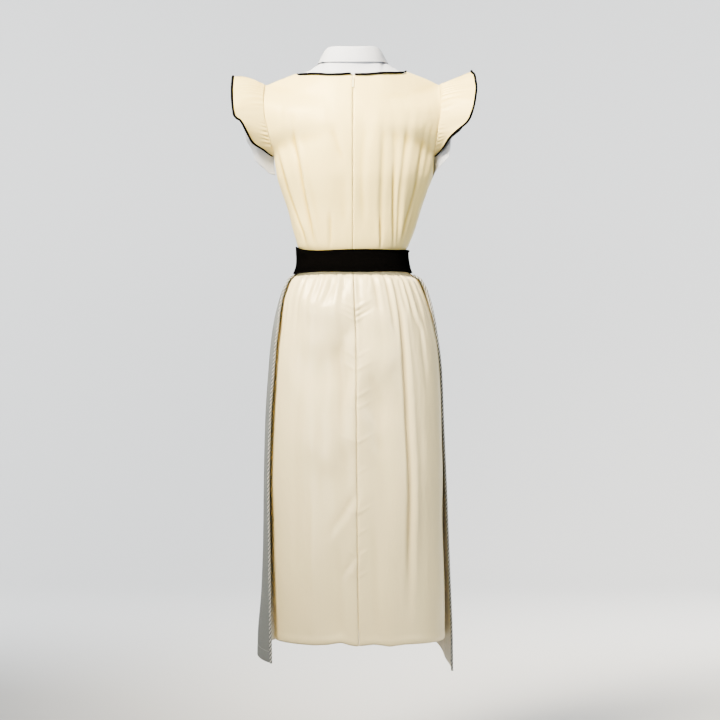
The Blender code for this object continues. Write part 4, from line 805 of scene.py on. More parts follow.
def plain_finish(name, colour, roughness, scale, bump, coat=0.0, shade=0.25, specular=0.5):
    """A finish with an even grain: covered cord, elastic, enamel or pearl."""
    made = bpy.data.materials.new(name)
    made.use_nodes = True
    tree = made.node_tree
    shader = tree.nodes["Principled BSDF"]
    where = tree.nodes.new("ShaderNodeTexCoord")
    grain = node_in(
        tree, "ShaderNodeTexNoise", Vector=where.outputs["Object"], Scale=scale, Detail=3.0, Roughness=0.6
    )
    mixed = tree.nodes.new("ShaderNodeMix")
    mixed.data_type = "RGBA"
    tree.links.new(grain.outputs[0], mixed.inputs[0])
    mixed.inputs[6].default_value = (*(c * (1 - shade) for c in colour), 1.0)
    mixed.inputs[7].default_value = (*(min(1.0, c * (1 + shade)) for c in colour), 1.0)
    tree.links.new(mixed.outputs[2], shader.inputs["Base Color"])
    relief = node_in(tree, "ShaderNodeBump", Strength=bump, Distance=0.0004, Height=grain.outputs[0])
    tree.links.new(relief.outputs[0], shader.inputs["Normal"])
    shader.inputs["Roughness"].default_value = roughness
    shader.inputs["Specular IOR Level"].default_value = specular
    shader.inputs["Coat Weight"].default_value = coat
    return made


black_cord = plain_finish("black_covered_cord", (0.0030, 0.0026, 0.0024), 0.90, 1400.0, 0.25, specular=0.0)
NECK_TURNS_LEFT = spaced(NECK_LEFT + 1.2, -ZIP_PARTING, 60)
NECK_TURNS_RIGHT = spaced(ZIP_PARTING, NECK_RIGHT - 1.5, 60)
for name, turns, taper in (
    ("back_left", NECK_TURNS_LEFT, (0.6, 0.0)),
    ("back_right", NECK_TURNS_RIGHT, (0.0, 0.6)),
    ("front", spaced(180 - NECK_RIGHT, 180 - NECK_LEFT, 120), (0.3, 0.3)),
):
    path = beside(dress(turns, 2.0), dress(turns, 1.94), 0.4 * PIPING, 0.9 * PIPING)
    piece = cord(f"covered_neck_piping_{name}", path, PIPING, black_cord, taper=taper)
    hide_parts(f"neck_piping_{name}")

# ---------------------------------------------------------------------- flounces
# Each armhole has a wide flounce of the same satin, gathered at the seam and edged with
# the black piping. Its gathers are short and oblique, and die out before the edge.

# Outer edge of a flounce at each turn round the armhole, from underarm over the shoulder:
# "aft" is its distance from the shoulder line, and "lift" the rise of the strip's middle.
Rim = namedtuple("Rim", "turn x aft z lift")
FLOUNCE_LEFT = [
    Rim(8, -0.1672, 0.0100, -0.1482, 0.0005), Rim(22, -0.1822, 0.0285, -0.1388, 0.0020),
    Rim(40, -0.2048, 0.0500, -0.1228, 0.0040), Rim(55, -0.2166, 0.0650, -0.1050, 0.0050),
    Rim(75, -0.2298, 0.0770, -0.0822, 0.0060), Rim(90, -0.2378, 0.0800, -0.0772, 0.0070),
    Rim(97, -0.2412, 0.0790, -0.0725, 0.0075), Rim(110, -0.2430, 0.0740, -0.0590, 0.0080),
    Rim(130, -0.2461, 0.0560, -0.0290, 0.0080), Rim(155, -0.2468, 0.0300, -0.0031, 0.0080),
    Rim(180, -0.2466, 0.0000, 0.0163, 0.0080),
]
FLOUNCE_RIGHT = [
    Rim(8, 0.1708, 0.0100, -0.1482, 0.0005), Rim(25, 0.1815, 0.0300, -0.1366, 0.0020),
    Rim(45, 0.1970, 0.0530, -0.1172, 0.0040), Rim(65, 0.2192, 0.0700, -0.0968, 0.0050),
    Rim(85, 0.2368, 0.0790, -0.0795, 0.0060), Rim(105, 0.2471, 0.0760, -0.0455, 0.0070),
    Rim(130, 0.2514, 0.0560, -0.0145, 0.0040), Rim(155, 0.2500, 0.0290, 0.0080, 0.0020),
    Rim(180, 0.2443, 0.0000, 0.0267, 0.0000),
]
FLOUNCE_WAVES = 9
FLOUNCE_FRONT = 0.035  # share by which the front half reaches out less
FLOUNCE_FORWARD = 0.92  # how far forward it comes, as a share of how far the back half goes back
FLOUNCE_SEAM = 0.0005  # gap between the strip and the armhole
FLOUNCE_FULL = 0.06  # width from which the strip ripples fully
FLOUNCE_RISE = (0.55, 0.85)  # outward and upward parts of the direction in which its middle rises
FLOUNCE_GATHERS = 46
GATHER_LEAN = (0.10, 0.22)  # how far round a gather leans over the width, at least and more at the back
GATHER_END = (0.24, 0.16)  # share of the width at which gathers die out, and how much that varies
GATHER_START = 0.10


def flounce(cut, rims, side, waves, ripple, gather, turn, width):
    """A point of a flounce: width is 0 at the armhole and 1 at the outer edge."""
    turn, width = np.broadcast_arrays(np.asarray(turn, float), width)
    behind = turn <= 180
    half = np.where(behind, turn, 360 - turn)
    seam = upper_body(cut, np.where(behind, 90 - EDGE, 90 + EDGE) * side, 1 + half / 180)
    aft = np.where(behind, -1.0, FLOUNCE_FORWARD) * smooth(rims, "aft", half)
    narrower = 1 - FLOUNCE_FRONT * np.sin(np.pi * np.clip(turn / 180 - 1, 0.0, 1.0))
    edge = np.stack([narrower * smooth(rims, "x", half), aft, smooth(rims, "z", half)], axis=-1)
    span = edge - seam
    length = np.linalg.norm(span, axis=-1, keepdims=True)
    start = np.minimum(FLOUNCE_SEAM / np.maximum(length, 1e-5), 0.3)
    s = start + (1 - start) * width[..., None]
    out = np.array([FLOUNCE_RISE[0] * side, 0.0, FLOUNCE_RISE[1]])
    point = seam + span * s + out * smooth(rims, "lift", half)[..., None] * 4 * s * (1 - s)
    t = np.radians(turn)
    sway = waves * t + 0.9 * np.sin(2 * t) + 0.6 * side
    strip = np.stack([0 * half, np.sin(t), -np.cos(t)], axis=-1)
    reach = np.clip(length / FLOUNCE_FULL, 0.0, 1.0)
    point = point + strip * np.cos(sway)[..., None] * ripple * reach * s**1.3
    slant = (GATHER_LEAN[0] + GATHER_LEAN[1] * np.sin(t) ** 2 * (half < 100)) * width
    fine = FLOUNCE_GATHERS * (t + slant) + 1.4 * np.sin(5 * t) + 0.9 * np.sin(13 * t + 1)
    ending = GATHER_END[0] + GATHER_END[1] * np.sin(3 * t + 0.7)
    fade = swell(width, GATHER_START, ending) * ease(0.0, GATHER_START, width)
    strength = gather * (0.55 + 0.45 * np.sin(2 * t + 0.5 * side) ** 2)
    normal = unit(np.cross(strip, unit(span)))
    return point + normal * (np.sin(fine) * fade * strength)[..., None] * reach


for side_name, side, rims in (("left", -1, FLOUNCE_LEFT), ("right", 1, FLOUNCE_RIGHT)):

    def satin_flounce(turn, width, side=side, rims=rims):
        """A point of this side's satin flounce."""
        return flounce(DRESS, rims, side, FLOUNCE_WAVES, 0.0022, 0.0017, turn, width)

    turns = spaced(8, 352, 260)
    name = f"satin_flounce_{side_name}"
    piece = panel(name, satin_flounce, turns, spaced(0, 1, 28), [satin_painted_warmer], SATIN, inward=side)
    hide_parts(f"flounce_{side_name}")
    path = beside(satin_flounce(turns, 1.0), satin_flounce(turns, 0.8), 0.6 * PIPING, -0.8 * side * PIPING)
    piece = cord(f"covered_flounce_piping_{side_name}", path, PIPING, black_cord, taper=(0.4, 0.4))
    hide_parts(f"flounce_piping_{side_name}")

# --------------------------------------------------------------------------- zip
# The hidden zip of the centre back shows only its enamelled slider and the pull tab,
# which swings on a crossbar in the slider's loop.

enamel = plain_finish("pale_zip_enamel", (0.640, 0.540, 0.250), 0.45, 300.0, 0.05, coat=0.1, shade=0.05)
for node in ("zip_slider", "zip_pull_tab"):
    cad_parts[node].data.materials.clear()
    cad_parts[node].data.materials.append(enamel)

# ------------------------------------------------------------------------ blouse
# Under the dress sits a short blouse of white cotton. Its yoke shows above the neckline,
# and its fronts close with a placket and pearl buttons.

COTTON = 0.0006
# Its second colour is the painted shade deep in folds.
cotton = cloth_finish(
    "white_cotton_cloth", (0.462, 0.474, 0.515), (0.380, 0.385, 0.405), 0.78, 0.00040, 0.0, 0.25,
    full_depth=0.004, unevenness=0.06,
)


def blouse(turn, level):
    """A point of the blouse's body."""
    return upper_body(BLOUSE, turn, level)


COLLAR_SIDE = turn_at_x(NECK_HALF, BLOUSE)
BLOUSE_LEVELS = joined((0, 1, 24), (1, 2, 44))
HALF_FRONT = joined((90 + EDGE, 180 - COLLAR_SIDE, 36), (180 - COLLAR_SIDE, 180, 24))
for name, columns, flat in (
    ("blouse_back", joined((-90 + EDGE, -COLLAR_SIDE, 36), (-COLLAR_SIDE, COLLAR_SIDE, 40),
                           (COLLAR_SIDE, 90 - EDGE, 36)), (0.420, 0.260)),
    ("blouse_front_right", HALF_FRONT, (0.220, 0.260)),
    ("blouse_front_left", 360 - HALF_FRONT[::-1], (0.220, 0.260)),
):
    piece = panel(f"cotton_{name}", blouse, columns, BLOUSE_LEVELS, [cotton], COTTON, seams="lrt")
    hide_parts(name)

PLACKET_WIDTH = 0.0220
PLACKET_AT = -0.1  # height at which its width is taken
PLACKET_OUT = 0.0014  # how far it stands in front of the fronts
PLACKET_UP = 0.0005
PLACKET_LEVELS = joined((0, 1, 10), (1, 1.857, 40))


def placket(side, level):
    """A point of the placket: side from -1 at one edge to 1 at the other."""
    share = side * PLACKET_WIDTH / 2 / (smooth(TORSO, "half", PLACKET_AT) - BLOUSE.inset)
    turn = 180 - np.degrees(np.arcsin(power(share, 1 / SQUARENESS)))
    return blouse(turn, level) + np.array([0.0, PLACKET_OUT, PLACKET_UP])


piece = panel("cotton_placket", placket, spaced(-1, 1, 14), PLACKET_LEVELS, [cotton], COTTON, inward=-1)
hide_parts("blouse_placket")

# ----------------------------------------------------------------- under flounces
# The blouse has white cotton flounces for sleeves, gathered into its armholes. They lie
# under the satin ones, and their lower ends hang out below them.

UNDER_LEFT = [
    Rim(0, -0.1612, 0.0000, -0.1870, 0.0080), Rim(10, -0.1732, 0.0080, -0.1848, 0.0130),
    Rim(22, -0.1880, 0.0170, -0.1745, 0.0190), Rim(33, -0.1992, 0.0240, -0.1638, 0.0170),
    Rim(42, -0.2058, 0.0290, -0.1502, 0.0120), Rim(50, -0.2090, 0.0340, -0.1370, 0.0100),
    Rim(60, -0.2160, 0.0400, -0.1270, 0.0080), Rim(72, -0.2215, 0.0450, -0.1150, 0.0060),
    Rim(85, -0.2240, 0.0480, -0.0990, 0.0060), Rim(120, -0.2300, 0.0430, -0.0540, 0.0060),
    Rim(150, -0.2310, 0.0230, -0.0240, 0.0010), Rim(180, -0.2300, 0.0000, -0.0080, 0.0000),
]
UNDER_RIGHT = [
    Rim(0, 0.1650, 0.0000, -0.1930, 0.0060), Rim(10, 0.1700, 0.0080, -0.1850, 0.0100),
    Rim(22, 0.1790, 0.0160, -0.1740, 0.0220), Rim(32, 0.1880, 0.0230, -0.1620, 0.0210),
    Rim(42, 0.1980, 0.0300, -0.1505, 0.0120), Rim(52, 0.2000, 0.0350, -0.1380, 0.0090),
    Rim(65, 0.2010, 0.0400, -0.1230, 0.0060), Rim(85, 0.2120, 0.0460, -0.1000, 0.0060),
    Rim(120, 0.2290, 0.0430, -0.0560, 0.0060), Rim(150, 0.2330, 0.0230, -0.0150, 0.0010),
    Rim(180, 0.2300, 0.0000, -0.0010, 0.0000),
]
for side_name, side, rims in (("left", -1, UNDER_LEFT), ("right", 1, UNDER_RIGHT)):

    def cotton_flounce(turn, width, side=side, rims=rims):
        """A point of this side's white flounce."""
        return flounce(BLOUSE, rims, side, FLOUNCE_WAVES - 1, 0.0030, 0.0018, turn, width)

    name = f"cotton_flounce_{side_name}"
    piece = panel(name, cotton_flounce, spaced(0, 360, 240), spaced(0, 1, 26), [cotton], COTTON, inward=side)
    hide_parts(f"under_flounce_{side_name}")

# ------------------------------------------------------------------------ collar
# A shirt collar of two layers of white cotton: a stand sewn to the neck, and a fall that
# turns down over it and ends in points in front.

Collar = namedtuple("Collar", "turn fold_z fall_z fall_half fall_depth")
COLLAR = [
    Collar(0, 0.0697, 0.0376, 0.0685, 0.0563), Collar(45, 0.0717, 0.0395, 0.0685, 0.0576),
    Collar(75, 0.0712, 0.0427, 0.0674, 0.0617), Collar(100, 0.0640, 0.0430, 0.0735, 0.0750),
    Collar(135, 0.0400, 0.0080, 0.0780, 0.0960), Collar(160, 0.0180, -0.0290, 0.0790, 0.1010),
    Collar(176, 0.0110, -0.0470, 0.0790, 0.1060),
]
COLLAR_SPREAD = 0.13  # share by which the points stand apart in front
COLLAR_POINTS = (120, 176)  # turns between which they come to that
COLLAR_FOLD_HALF = 0.0550
COLLAR_FOLD_DEPTH = 0.0510
COLLAR_BELL = 0.8  # exponents of how the fall goes out and down from its fold
COLLAR_DROOP = 1.15
COLLAR_GAP = 0.0009
COLLAR_CLOTH = 0.0010
STAND_INSET = 0.0017
STAND_TOP = 0.95


def collar(turn, part, aside=0.0):
    """A point of the collar: part is 0 at the neck seam, 1 at the fold, 2 at the fall's edge."""
    turn, part = np.broadcast_arrays(np.asarray(turn, float), np.asarray(part, float))
    half_turn = np.abs(turn)
    angle = np.radians(turn)
    rise = np.clip(part, 0.0, 1.0)
    fall = np.clip(part - 1.0, 0.0, 1.0)
    neck = np.where(half_turn < 90, NECK_BACK, NECK_FRONT)
    fold_z = smooth(COLLAR, "fold_z", half_turn)
    edge_x = NECK_HALF * np.sin(angle)
    edge_z = np.where(half_turn < 90, smooth(CREST_BACK, "z", edge_x), smooth(CREST_FRONT, "z", edge_x))
    half = NECK_HALF + (COLLAR_FOLD_HALF - NECK_HALF) * rise
    half = half + (smooth(COLLAR, "fall_half", half_turn) - COLLAR_FOLD_HALF) * fall**COLLAR_BELL
    depth = neck + (COLLAR_FOLD_DEPTH - neck) * rise
    depth = depth + (smooth(COLLAR, "fall_depth", half_turn) - COLLAR_FOLD_DEPTH) * fall**COLLAR_BELL
    z = (edge_z + COLLAR_GAP) * (1 - rise) + fold_z * rise
    z = z + (smooth(COLLAR, "fall_z", half_turn) - fold_z) * fall**COLLAR_DROOP
    turned = angle * (1 - COLLAR_SPREAD * fall * ease(*COLLAR_POINTS, half_turn))
    return np.stack([(half + aside) * np.sin(turned), -(depth + aside) * np.cos(turned), z], axis=-1)


def collar_stand(turn, height):
    """A point of the stand, which ends inside the fold."""
    return collar(turn, STAND_TOP * height, -STAND_INSET)


def collar_fall(turn, height):
    """A point of the fall."""
    return collar(turn, 1 + height)


COLLAR_TURNS = spaced(-174, 174, 200)
for name, surface, flat, inward, rows in (
    ("stand", collar_stand, (0.365, 0.027), -1, spaced(0, 1, 10)),
    ("fall", collar_fall, (0.440, 0.042), 1, joined((0, 0.12, 8), (0.12, 1, 18))),
):
    piece = panel(f"cotton_collar_{name}", surface, COLLAR_TURNS, rows, [cotton], COLLAR_CLOTH, inward=inward)
    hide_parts(f"collar_{name}")

# ----------------------------------------------------------------------- buttons
# Two buttons of pearl shell close the placket. Each is a turned disc with a raised rim and
# a dished middle, and is sewn flat on the placket.

pearl = plain_finish("pearl_shell", (0.800, 0.790, 0.760), 0.22, 160.0, 0.04, coat=0.6, shade=0.06)
BUTTON_PROFILE = ((0.0, 0.0), (0.0044, 0.0), (0.0050, 0.0006), (0.0050, 0.0014), (0.0046, 0.0020),
                  (0.0039, 0.0021), (0.0033, 0.0016), (0.0, 0.0014))
BUTTON_HEIGHTS = (-0.0290, -0.0500)
BUTTON_STANDOFF = 0.0006
BUTTON_SLOPE = 0.01  # length of placket below a button that gives its slope
BUTTON_STEPS = 36


def finished(name, built, finish):
    """An object from a mesh that has been built up in place."""
    mesh = bpy.data.meshes.new(name)
    built.to_mesh(mesh)
    built.free()
    return placed(name, mesh, finish)


placket_line = placket(np.zeros(400), spaced(1, 2, 400))
for number, height in enumerate(BUTTON_HEIGHTS, start=1):
    y, below = np.interp((height, height - BUTTON_SLOPE), placket_line[:, 2], placket_line[:, 1])
    lean = math.atan2(below - y, BUTTON_SLOPE)
    disc = bmesh.new()
    rows = [disc.verts.new((radius, 0, rise)) for radius, rise in BUTTON_PROFILE]
    edges = [disc.edges.new(pair) for pair in zip(rows, rows[1:])]
    bmesh.ops.spin(
        disc, geom=rows + edges, cent=(0, 0, 0), axis=(0, 0, 1), angle=2 * math.pi, steps=BUTTON_STEPS
    )
    bmesh.ops.remove_doubles(disc, verts=disc.verts, dist=0.00005)
    bmesh.ops.recalc_face_normals(disc, faces=disc.faces)
    piece = finished(f"turned_button_{number}", disc, pearl)
    back_face = Vector((0.0, y + BUTTON_STANDOFF * math.cos(lean), height + BUTTON_STANDOFF * math.sin(lean)))
    piece.matrix_world = Matrix.Translation(back_face) @ Matrix.Rotation(lean - math.pi / 2, 4, "X")
    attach(piece, "garment")
    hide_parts(f"blouse_button_{number}")

# ------------------------------------------------------------------------- apron
# A long apron of grey cloth, gathered under the belt. Its sides wrap past the hips, its
# corners hang lower than the skirt, and its inside is paler, its colour lifted further by
# painted light where it lies in the shaded gap beside the skirt. A stitched hem crosses it.

Reach = namedtuple("Reach", "z left right front wrap_left wrap_right gather")
APRON_REACHES = [
    Reach(-1.2150, -0.1990, 0.2035, 0.1520, 28.0, -1.0, 0.0000),
    Reach(-1.1400, -0.1975, 0.2025, 0.1500, 26.5, -1.0, 0.0000),
    Reach(-1.0470, -0.1905, 0.1990, 0.1460, 23.0, -1.0, 0.0001),
    Reach(-0.9440, -0.1873, 0.1950, 0.1430, 20.0, -1.0, 0.0002),
    Reach(-0.8200, -0.1860, 0.1905, 0.1400, 18.0, -1.0, 0.0003),
    Reach(-0.6955, -0.1828, 0.1850, 0.1370, 18.5, 0.0, 0.0004),
    Reach(-0.5982, -0.1762, 0.1810, 0.1330, 20.0, 2.0, 0.0007),
    Reach(-0.5154, -0.1680, 0.1715, 0.1280, 20.5, 5.0, 0.0012),
    Reach(-0.4492, -0.1535, 0.1580, 0.1215, 15.5, 6.0, 0.0022),
    Reach(-0.4057, -0.1350, 0.1390, 0.1085, 13.0, 6.0, 0.0018),
    Reach(-0.3965, -0.1205, 0.1230, 0.0935, 6.5, 5.0, 0.0005),
    Reach(-0.3900, -0.1125, 0.1135, 0.0880, 2.5, 5.0, 0.0002),
    Reach(-0.3800, -0.1090, 0.1090, 0.0845, 2.5, 5.0, 0.0002),
]
APRON_TOP = -0.3860
APRON_HEM = -1.1500
APRON_DROP_LEFT = 0.0385  # how far the corners hang below the hem's middle
APRON_DROP_RIGHT = 0.0640
APRON_STANDOFF = 0.0031
APRON_HUG = 0.8  # share of its standing off that a side gives up before its edge
APRON_HUG_LEFT = 0.32  # and the left edge itself
HUG_RIGHT = ((0.50, 0.75), (0.88, 1.0))  # sides between which the right side draws in and lets go
HUG_LEFT = (0.70, 1.0)
HUG_FROM = (0.70, 0.95)  # distances below the shoulders between which the right side does so
APRON_GATHERS = 26
APRON_CLOTH = 0.0006
APRON_THICK = 0.0012  # the cloth's standoff counts to its inner face
HEM_DEPTH = 0.0220
HEM_FOLD = 0.0006  # depth of the step where the hem's turned-up edge ends
HEM_FOLD_WIDE = 0.0016
APRON_CREASES = [
    Crease(((-0.120, -0.400), (-0.135, -0.800), (-0.150, -1.215)), 0.0180, 0.0056, 0.7),
    Crease(((-0.078, -0.400), (-0.088, -0.700), (-0.096, -1.215)), 0.0140, 0.0034, -0.8),
    Crease(((-0.040, -0.400), (-0.042, -0.800), (-0.044, -1.215)), 0.0180, 0.0056, 0.7),
    Crease(((0.006, -0.400), (0.005, -0.650), (0.004, -0.900)), 0.0130, 0.0030, 0.8),
    Crease(((0.042, -0.400), (0.050, -0.800), (0.058, -1.215)), 0.0180, 0.0056, -0.7),
    Crease(((0.080, -0.400), (0.094, -0.800), (0.108, -1.215)), 0.0150, 0.0034, 0.8),
    Crease(((0.118, -0.400), (0.136, -0.800), (0.156, -1.215)), 0.0180, 0.0052, -0.7),
    Crease(((-0.020, -0.395), (-0.022, -0.480)), 0.0060, 0.0026, 0.5),
    Crease(((0.026, -0.395), (0.030, -0.500)), 0.0060, 0.0028, -0.5),
    Crease(((-0.064, -0.395), (-0.070, -0.520)), 0.0060, 0.0026, 0.5),
    Crease(((0.066, -0.395), (0.072, -0.470)), 0.0060, 0.0028, -0.5),
]
# Its second colour is the painted shade deep in folds.
grey = cloth_finish(
    "grey_apron_cloth", (0.132, 0.140, 0.134), (0.094, 0.098, 0.094), 0.74, 0.00055, 0.0, 0.35,
    unevenness=0.22,
)
# Its colour is paler than the outside's, as the cloth's inside is, and lifted further to stand in for light
# in the shaded gap beside the skirt: partly painted light. Its second colour is the painted shade deep in
# folds.
grey_inside_with_painted_light = cloth_finish(
    "grey_apron_inside", (0.720, 0.670, 0.540), (0.560, 0.510, 0.400), 0.80, 0.00055, 0.0, 0.35,
    unevenness=0.18,
)


def apron_hem(side):
    """Height of the apron's lower edge, which hangs lowest at its corners."""
    left = APRON_DROP_LEFT * ease(0.15, 1.05, -side)
    return APRON_HEM - left - APRON_DROP_RIGHT * np.clip(side, 0.0, 1.0) ** 4


def apron(side, drop, lift=0.0):
    """A point of the apron's outer face: side from -1 at its left edge to 1 at its right edge."""
    side, drop = np.broadcast_arrays(side, drop)
    hem = apron_hem(side)
    z = APRON_TOP + (hem - APRON_TOP) * drop
    wrap = np.where(side < 0, smooth(APRON_REACHES, "wrap_left", z), smooth(APRON_REACHES, "wrap_right", z))
    angle = np.radians(side * (90 + wrap))
    shift = smooth(SKIRT_GIRTHS, "shift", z)
    left = shift - smooth(APRON_REACHES, "left", z)
    right = smooth(APRON_REACHES, "right", z) - shift
    least = smooth(SKIRT_GIRTHS, "half", z) + APRON_STANDOFF
    reach = np.maximum(np.where(side < 0, left, right), least)
    skirt_front = smooth(SKIRT_GIRTHS, "front", z)
    front = np.maximum(smooth(APRON_REACHES, "front", z), skirt_front + APRON_STANDOFF)
    back = smooth(SKIRT_GIRTHS, "back", z) + front - skirt_front
    x = power(np.sin(angle), SQUARENESS) * reach
    y = power(np.cos(angle), SQUARENESS) * np.where(np.cos(angle) < 0, back, front)
    relief = smooth(APRON_REACHES, "gather", z) * (gather_wave(side * 180, APRON_GATHERS) - GATHER_REST)
    drawn_in, let_go = (ease(*span, side) for span in HUG_RIGHT)
    hug = APRON_HUG * drawn_in * (1 - let_go) * ease(*HUG_FROM, -z)
    hug = hug + APRON_HUG_LEFT * ease(*HUG_LEFT, -side)
    relief = relief - hug * (reach - least)
    relief = relief + crease_relief(APRON_CREASES, x, z) * (1 - ease(0.80, 1.0, np.abs(side)))
    relief = relief - HEM_FOLD * swell(z, hem + HEM_DEPTH, HEM_FOLD_WIDE)
    x, y = push_out(x, y, relief + lift + APRON_THICK)
    return np.stack([x + shift, y, z], axis=-1)


APRON_DROPS = joined((0, 0.03, 12), (0.03, 0.9, 120), (0.9, 1, 34))
piece = panel("gathered_apron", apron, spaced(-1, 1, 150), APRON_DROPS, [grey, grey_inside_with_painted_light], APRON_CLOTH)
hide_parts("apron")

# Hem thread: short straight stitches on the outside, in a row above the folded edge.
thread = plain_finish("sewing_thread", (0.420, 0.420, 0.395), 0.60, 900.0, 0.2)
STITCH = 0.0028
STITCH_GAP = 0.0012
STITCH_RADIUS = 0.00024
STITCH_LIFT = 0.0001
STITCH_SIDES = 5


def distances(path):
    """How far along a path each of its points lies."""
    return np.concatenate([[0.0], np.cumsum(np.linalg.norm(np.diff(path, axis=0), axis=-1))])


def stitches(name, path, finish):
    """A row of stitches along a path of points that lie on the cloth."""
    run = distances(path)
    sewn = bmesh.new()
    for start in np.arange(0.0, run[-1] - STITCH, STITCH + STITCH_GAP):
        first, last = (
            Vector([np.interp(at, run, path[:, axis]) for axis in range(3)]) for at in (start, start + STITCH)
        )
        along = last - first
        turn = along.to_track_quat("Z", "Y").to_matrix().to_4x4()
        turn.translation = (first + last) / 2
        bmesh.ops.create_cone(
            sewn, cap_ends=True, segments=STITCH_SIDES, radius1=STITCH_RADIUS, radius2=STITCH_RADIUS,
            depth=along.length, matrix=turn,
        )
    piece = finished(name, sewn, finish)
    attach(piece, "garment")
    return piece


sides = spaced(-0.985, 0.985, 400)
drops = 1 - HEM_DEPTH / (APRON_TOP - apron_hem(sides))
hem_row = stitches("apron_hem_stitches", apron(sides, drops, STITCH_LIFT), thread)

# ------------------------------------------------------------------- apron braids
# Each side of the apron is edged with a twisted braid: two dark and two pale strands wound
# round each other.

BRAID_RADIUS = 0.0026
BRAID_LIFT = 0.0010
BRAID_GAP = 0.0006  # between the braid and the apron's edge
BRAID_TURN = 0.0170  # length in which a strand goes once round
STRAND = 0.00140
dark_strand = plain_finish("dark_braid_strand", (0.030, 0.030, 0.028), 0.80, 1500.0, 0.4)
pale_strand = plain_finish("pale_braid_strand", (0.400, 0.390, 0.350), 0.80, 1500.0, 0.4)
for side_name, side in (("left", -1), ("right", 1)):
    drops = spaced(0.014, 1.0, 1000)
    edge, inside = (apron(side * share, drops, BRAID_LIFT - APRON_THICK) for share in (1.0, 0.96))
    path = beside(edge, inside, BRAID_RADIUS + BRAID_GAP)
    tangent = unit(np.gradient(path, axis=0))
    level = unit(np.cross(tangent, np.array([0.0, 1.0, 0.0])))
    upright = np.cross(tangent, level)
    for number, finish in enumerate((dark_strand, pale_strand, dark_strand, pale_strand)):
        wound = (2 * math.pi * distances(path) / BRAID_TURN + math.pi / 2 * number)[:, None]
        strand_path = path + (BRAID_RADIUS - STRAND) * (np.cos(wound) * level + np.sin(wound) * upright)
        strand = cord(f"braid_{side_name}_strand_{number + 1}", strand_path, STRAND, finish, sides=6)
        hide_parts(f"apron_braid_{side_name}")

# -------------------------------------------------------------------------- belt
# A five-centimetre band of black elastic goes round the waist, closed at the left side,
# where one end stands up a little. Fine ribs run round it.

BELT_TOP = -0.3465
BELT_BOTTOM = -0.3925
BELT_TILT = 0.010
BELT_HALF = 0.1180
BELT_STANDOFF = 0.0061
BELT_CLOTH = 0.0018
BELT_RIBS = 24
RIB_DEEP = 0.00025
BELT_SELVEDGE = 0.06  # share of the height at each edge over which the ribs come in
BELT_SWAY = 0.0007  # how far its edges wander up and down
BELT_TIP = 0.0112  # how far the end at the left side stands up
BELT_TIP_OUT = 0.0036  # and out
BELT_TIP_SPAN = 24  # and the turn over which it does
SEAM_BLEND = 0.001  # height over which the skirt's girth turns into the bodice's
elastic = plain_finish("black_ribbed_elastic", (0.0010, 0.0009, 0.0008), 0.90, 500.0, 0.2, specular=0.0)


def belt(turn, height):
    """The belt's outer face; turn runs once round from the left side."""
    turn, height = np.broadcast_arrays(turn, height)
    angle = np.radians(turn)
    z = BELT_BOTTOM + (BELT_TOP - BELT_BOTTOM) * height + BELT_TILT * BELT_HALF * np.sin(angle)
    ribbed = ease(0.0, BELT_SELVEDGE, height) * ease(-1.0, BELT_SELVEDGE - 1.0, -height)
    out = BELT_STANDOFF + BELT_CLOTH + RIB_DEEP * np.cos(2 * math.pi * height * BELT_RIBS) * ribbed
    mix = ease(SKIRT_TOP - SEAM_BLEND, SKIRT_TOP + SEAM_BLEND, z)
    sizes = []
    for column in ("half", "front", "back"):
        lower = smooth(SKIRT_GIRTHS, column, z)
        sizes.append(lower + (smooth(TORSO, column, z) - lower) * mix + out)
    half, front, back = sizes
    standing = swell(turn, -90, BELT_TIP_SPAN) * ease(0.3, 1.0, height)
    z = z + BELT_SWAY * np.sin(5 * angle + 1.0) * (2 * height - 1) + BELT_TIP * standing
    x = (half + BELT_TIP_OUT * standing) * power(np.sin(angle), SQUARENESS)
    y = -power(np.cos(angle), SQUARENESS) * np.where(np.cos(angle) < 0, front, back)
    return np.stack([x, y, z], axis=-1)


BELT_TURNS = spaced(-90, 269.8, 220)
piece = panel("elastic_belt", belt, BELT_TURNS, spaced(0, 1, 96), [elastic], BELT_CLOTH, inward=-1)
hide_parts("belt")

# ------------------------------------------------------------------------ studio
# A pale sweep of backdrop and floor, soft light from the upper left, and a camera level
# with the dress's middle, behind it.

CAMERA_X = 0.0145
CAMERA_Z = -0.5713
CAMERA_DISTANCE = 4.5
VIEW_WIDTH = 1.4904  # what the picture spans at the garment's middle
SENSOR = 36.0
camera_data = bpy.data.cameras.new("camera")
camera_data.sensor_width = SENSOR
camera_data.lens = SENSOR * CAMERA_DISTANCE / VIEW_WIDTH
camera = bpy.data.objects.new("camera", camera_data)
camera.location = (CAMERA_X, -CAMERA_DISTANCE, CAMERA_Z)
camera.rotation_euler = (math.radians(90), 0, 0)
bpy.context.scene.collection.objects.link(camera)
bpy.context.scene.camera = camera

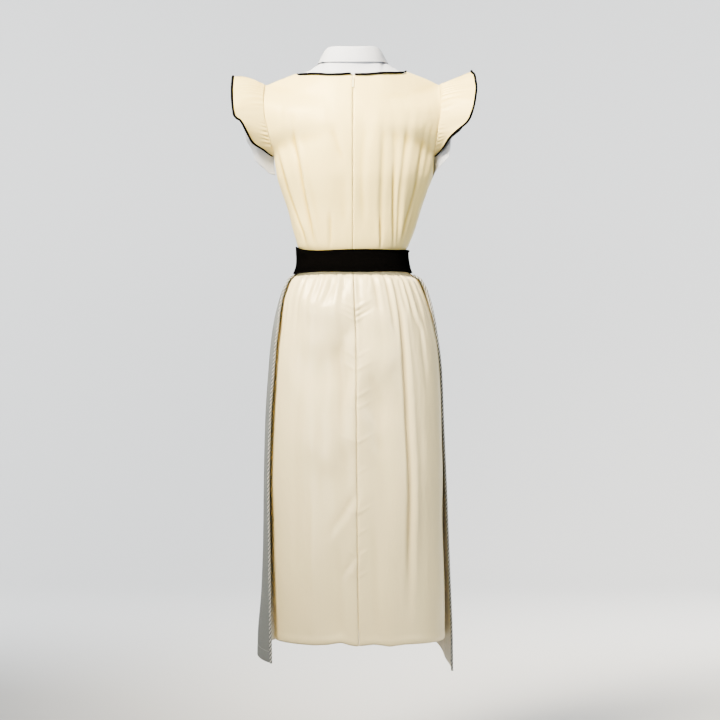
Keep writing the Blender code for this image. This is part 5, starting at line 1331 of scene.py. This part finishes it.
backdrop_finish = plain_finish("pale_backdrop", (0.710, 0.697, 0.680), 0.95, 2.0, 0.0, shade=0.004)
FLOOR_Z = -1.46
FLOOR_NEAR = -9.0
SWEEP_HALF = 9.0
SWEEP_Y = 4.0
SWEEP_RADIUS = 1.6
SWEEP_STEPS = 16
WALL_TOP = 4.2
profile = [(FLOOR_NEAR, FLOOR_Z), (SWEEP_Y, FLOOR_Z)]
for step in range(1, SWEEP_STEPS + 1):
    angle = math.radians(90 * step / SWEEP_STEPS)
    profile.append((SWEEP_Y + SWEEP_RADIUS * math.sin(angle), FLOOR_Z + SWEEP_RADIUS * (1 - math.cos(angle))))
profile.append((SWEEP_Y + SWEEP_RADIUS, WALL_TOP))
sweep = bmesh.new()
left, right = ([sweep.verts.new((x, y, z)) for y, z in profile] for x in (-SWEEP_HALF, SWEEP_HALF))
for i in range(len(profile) - 1):
    sweep.faces.new((left[i], right[i], right[i + 1], left[i + 1]))
backdrop = finished("backdrop", sweep, backdrop_finish)

world = bpy.data.worlds.new("studio")
world.use_nodes = True
world.node_tree.nodes["Background"].inputs["Color"].default_value = (0.80, 0.91, 1.0, 1.0)
world.node_tree.nodes["Background"].inputs["Strength"].default_value = 0.24
bpy.context.scene.world = world

Lamp = namedtuple("Lamp", "name place aim size power spread colour")
BEAM = 52  # degrees over which a grid lets the light out
OPEN = 180
WARM = (1.0, 0.91, 0.74)
COOL = (0.92, 0.96, 1.0)
for lamp in (
    Lamp("key", (-1.05, -1.65, 1.7), (0.0, 0.0, 0.30), 1.3, 88.0, BEAM, WARM),
    Lamp("fill", (2.5, -1.9, 0.2), (0.0, 0.0, -0.60), 2.0, 74.0, OPEN, COOL),
    Lamp("low_fill", (-1.5, -2.0, -0.5), (-0.2, 0.0, -0.15), 1.2, 7.0, BEAM, COOL),
    Lamp("front_key", (1.6, 3.0, 1.4), (0.0, 0.0, -0.3), 1.8, 60.0, OPEN, COOL),
    Lamp("top", (0.0, 0.2, 2.4), (0.0, 0.0, -0.3), 2.0, 18.0, OPEN, COOL),
    Lamp("backdrop_left", (-2.6, 2.2, 0.8), (-1.0, 5.6, 0.6), 1.8, 250.0, OPEN, COOL),
    Lamp("backdrop_right", (2.6, 2.2, 0.8), (0.8, 5.6, 0.6), 1.8, 225.0, OPEN, COOL),
):
    light = bpy.data.lights.new(lamp.name, "AREA")
    light.shape = "DISK"
    light.size = lamp.size
    light.energy = lamp.power
    light.spread = math.radians(lamp.spread)
    light.color = lamp.colour
    holder = bpy.data.objects.new(lamp.name, light)
    holder.location = lamp.place
    holder.rotation_euler = (Vector(lamp.aim) - Vector(lamp.place)).to_track_quat("-Z", "Y").to_euler()
    bpy.context.scene.collection.objects.link(holder)
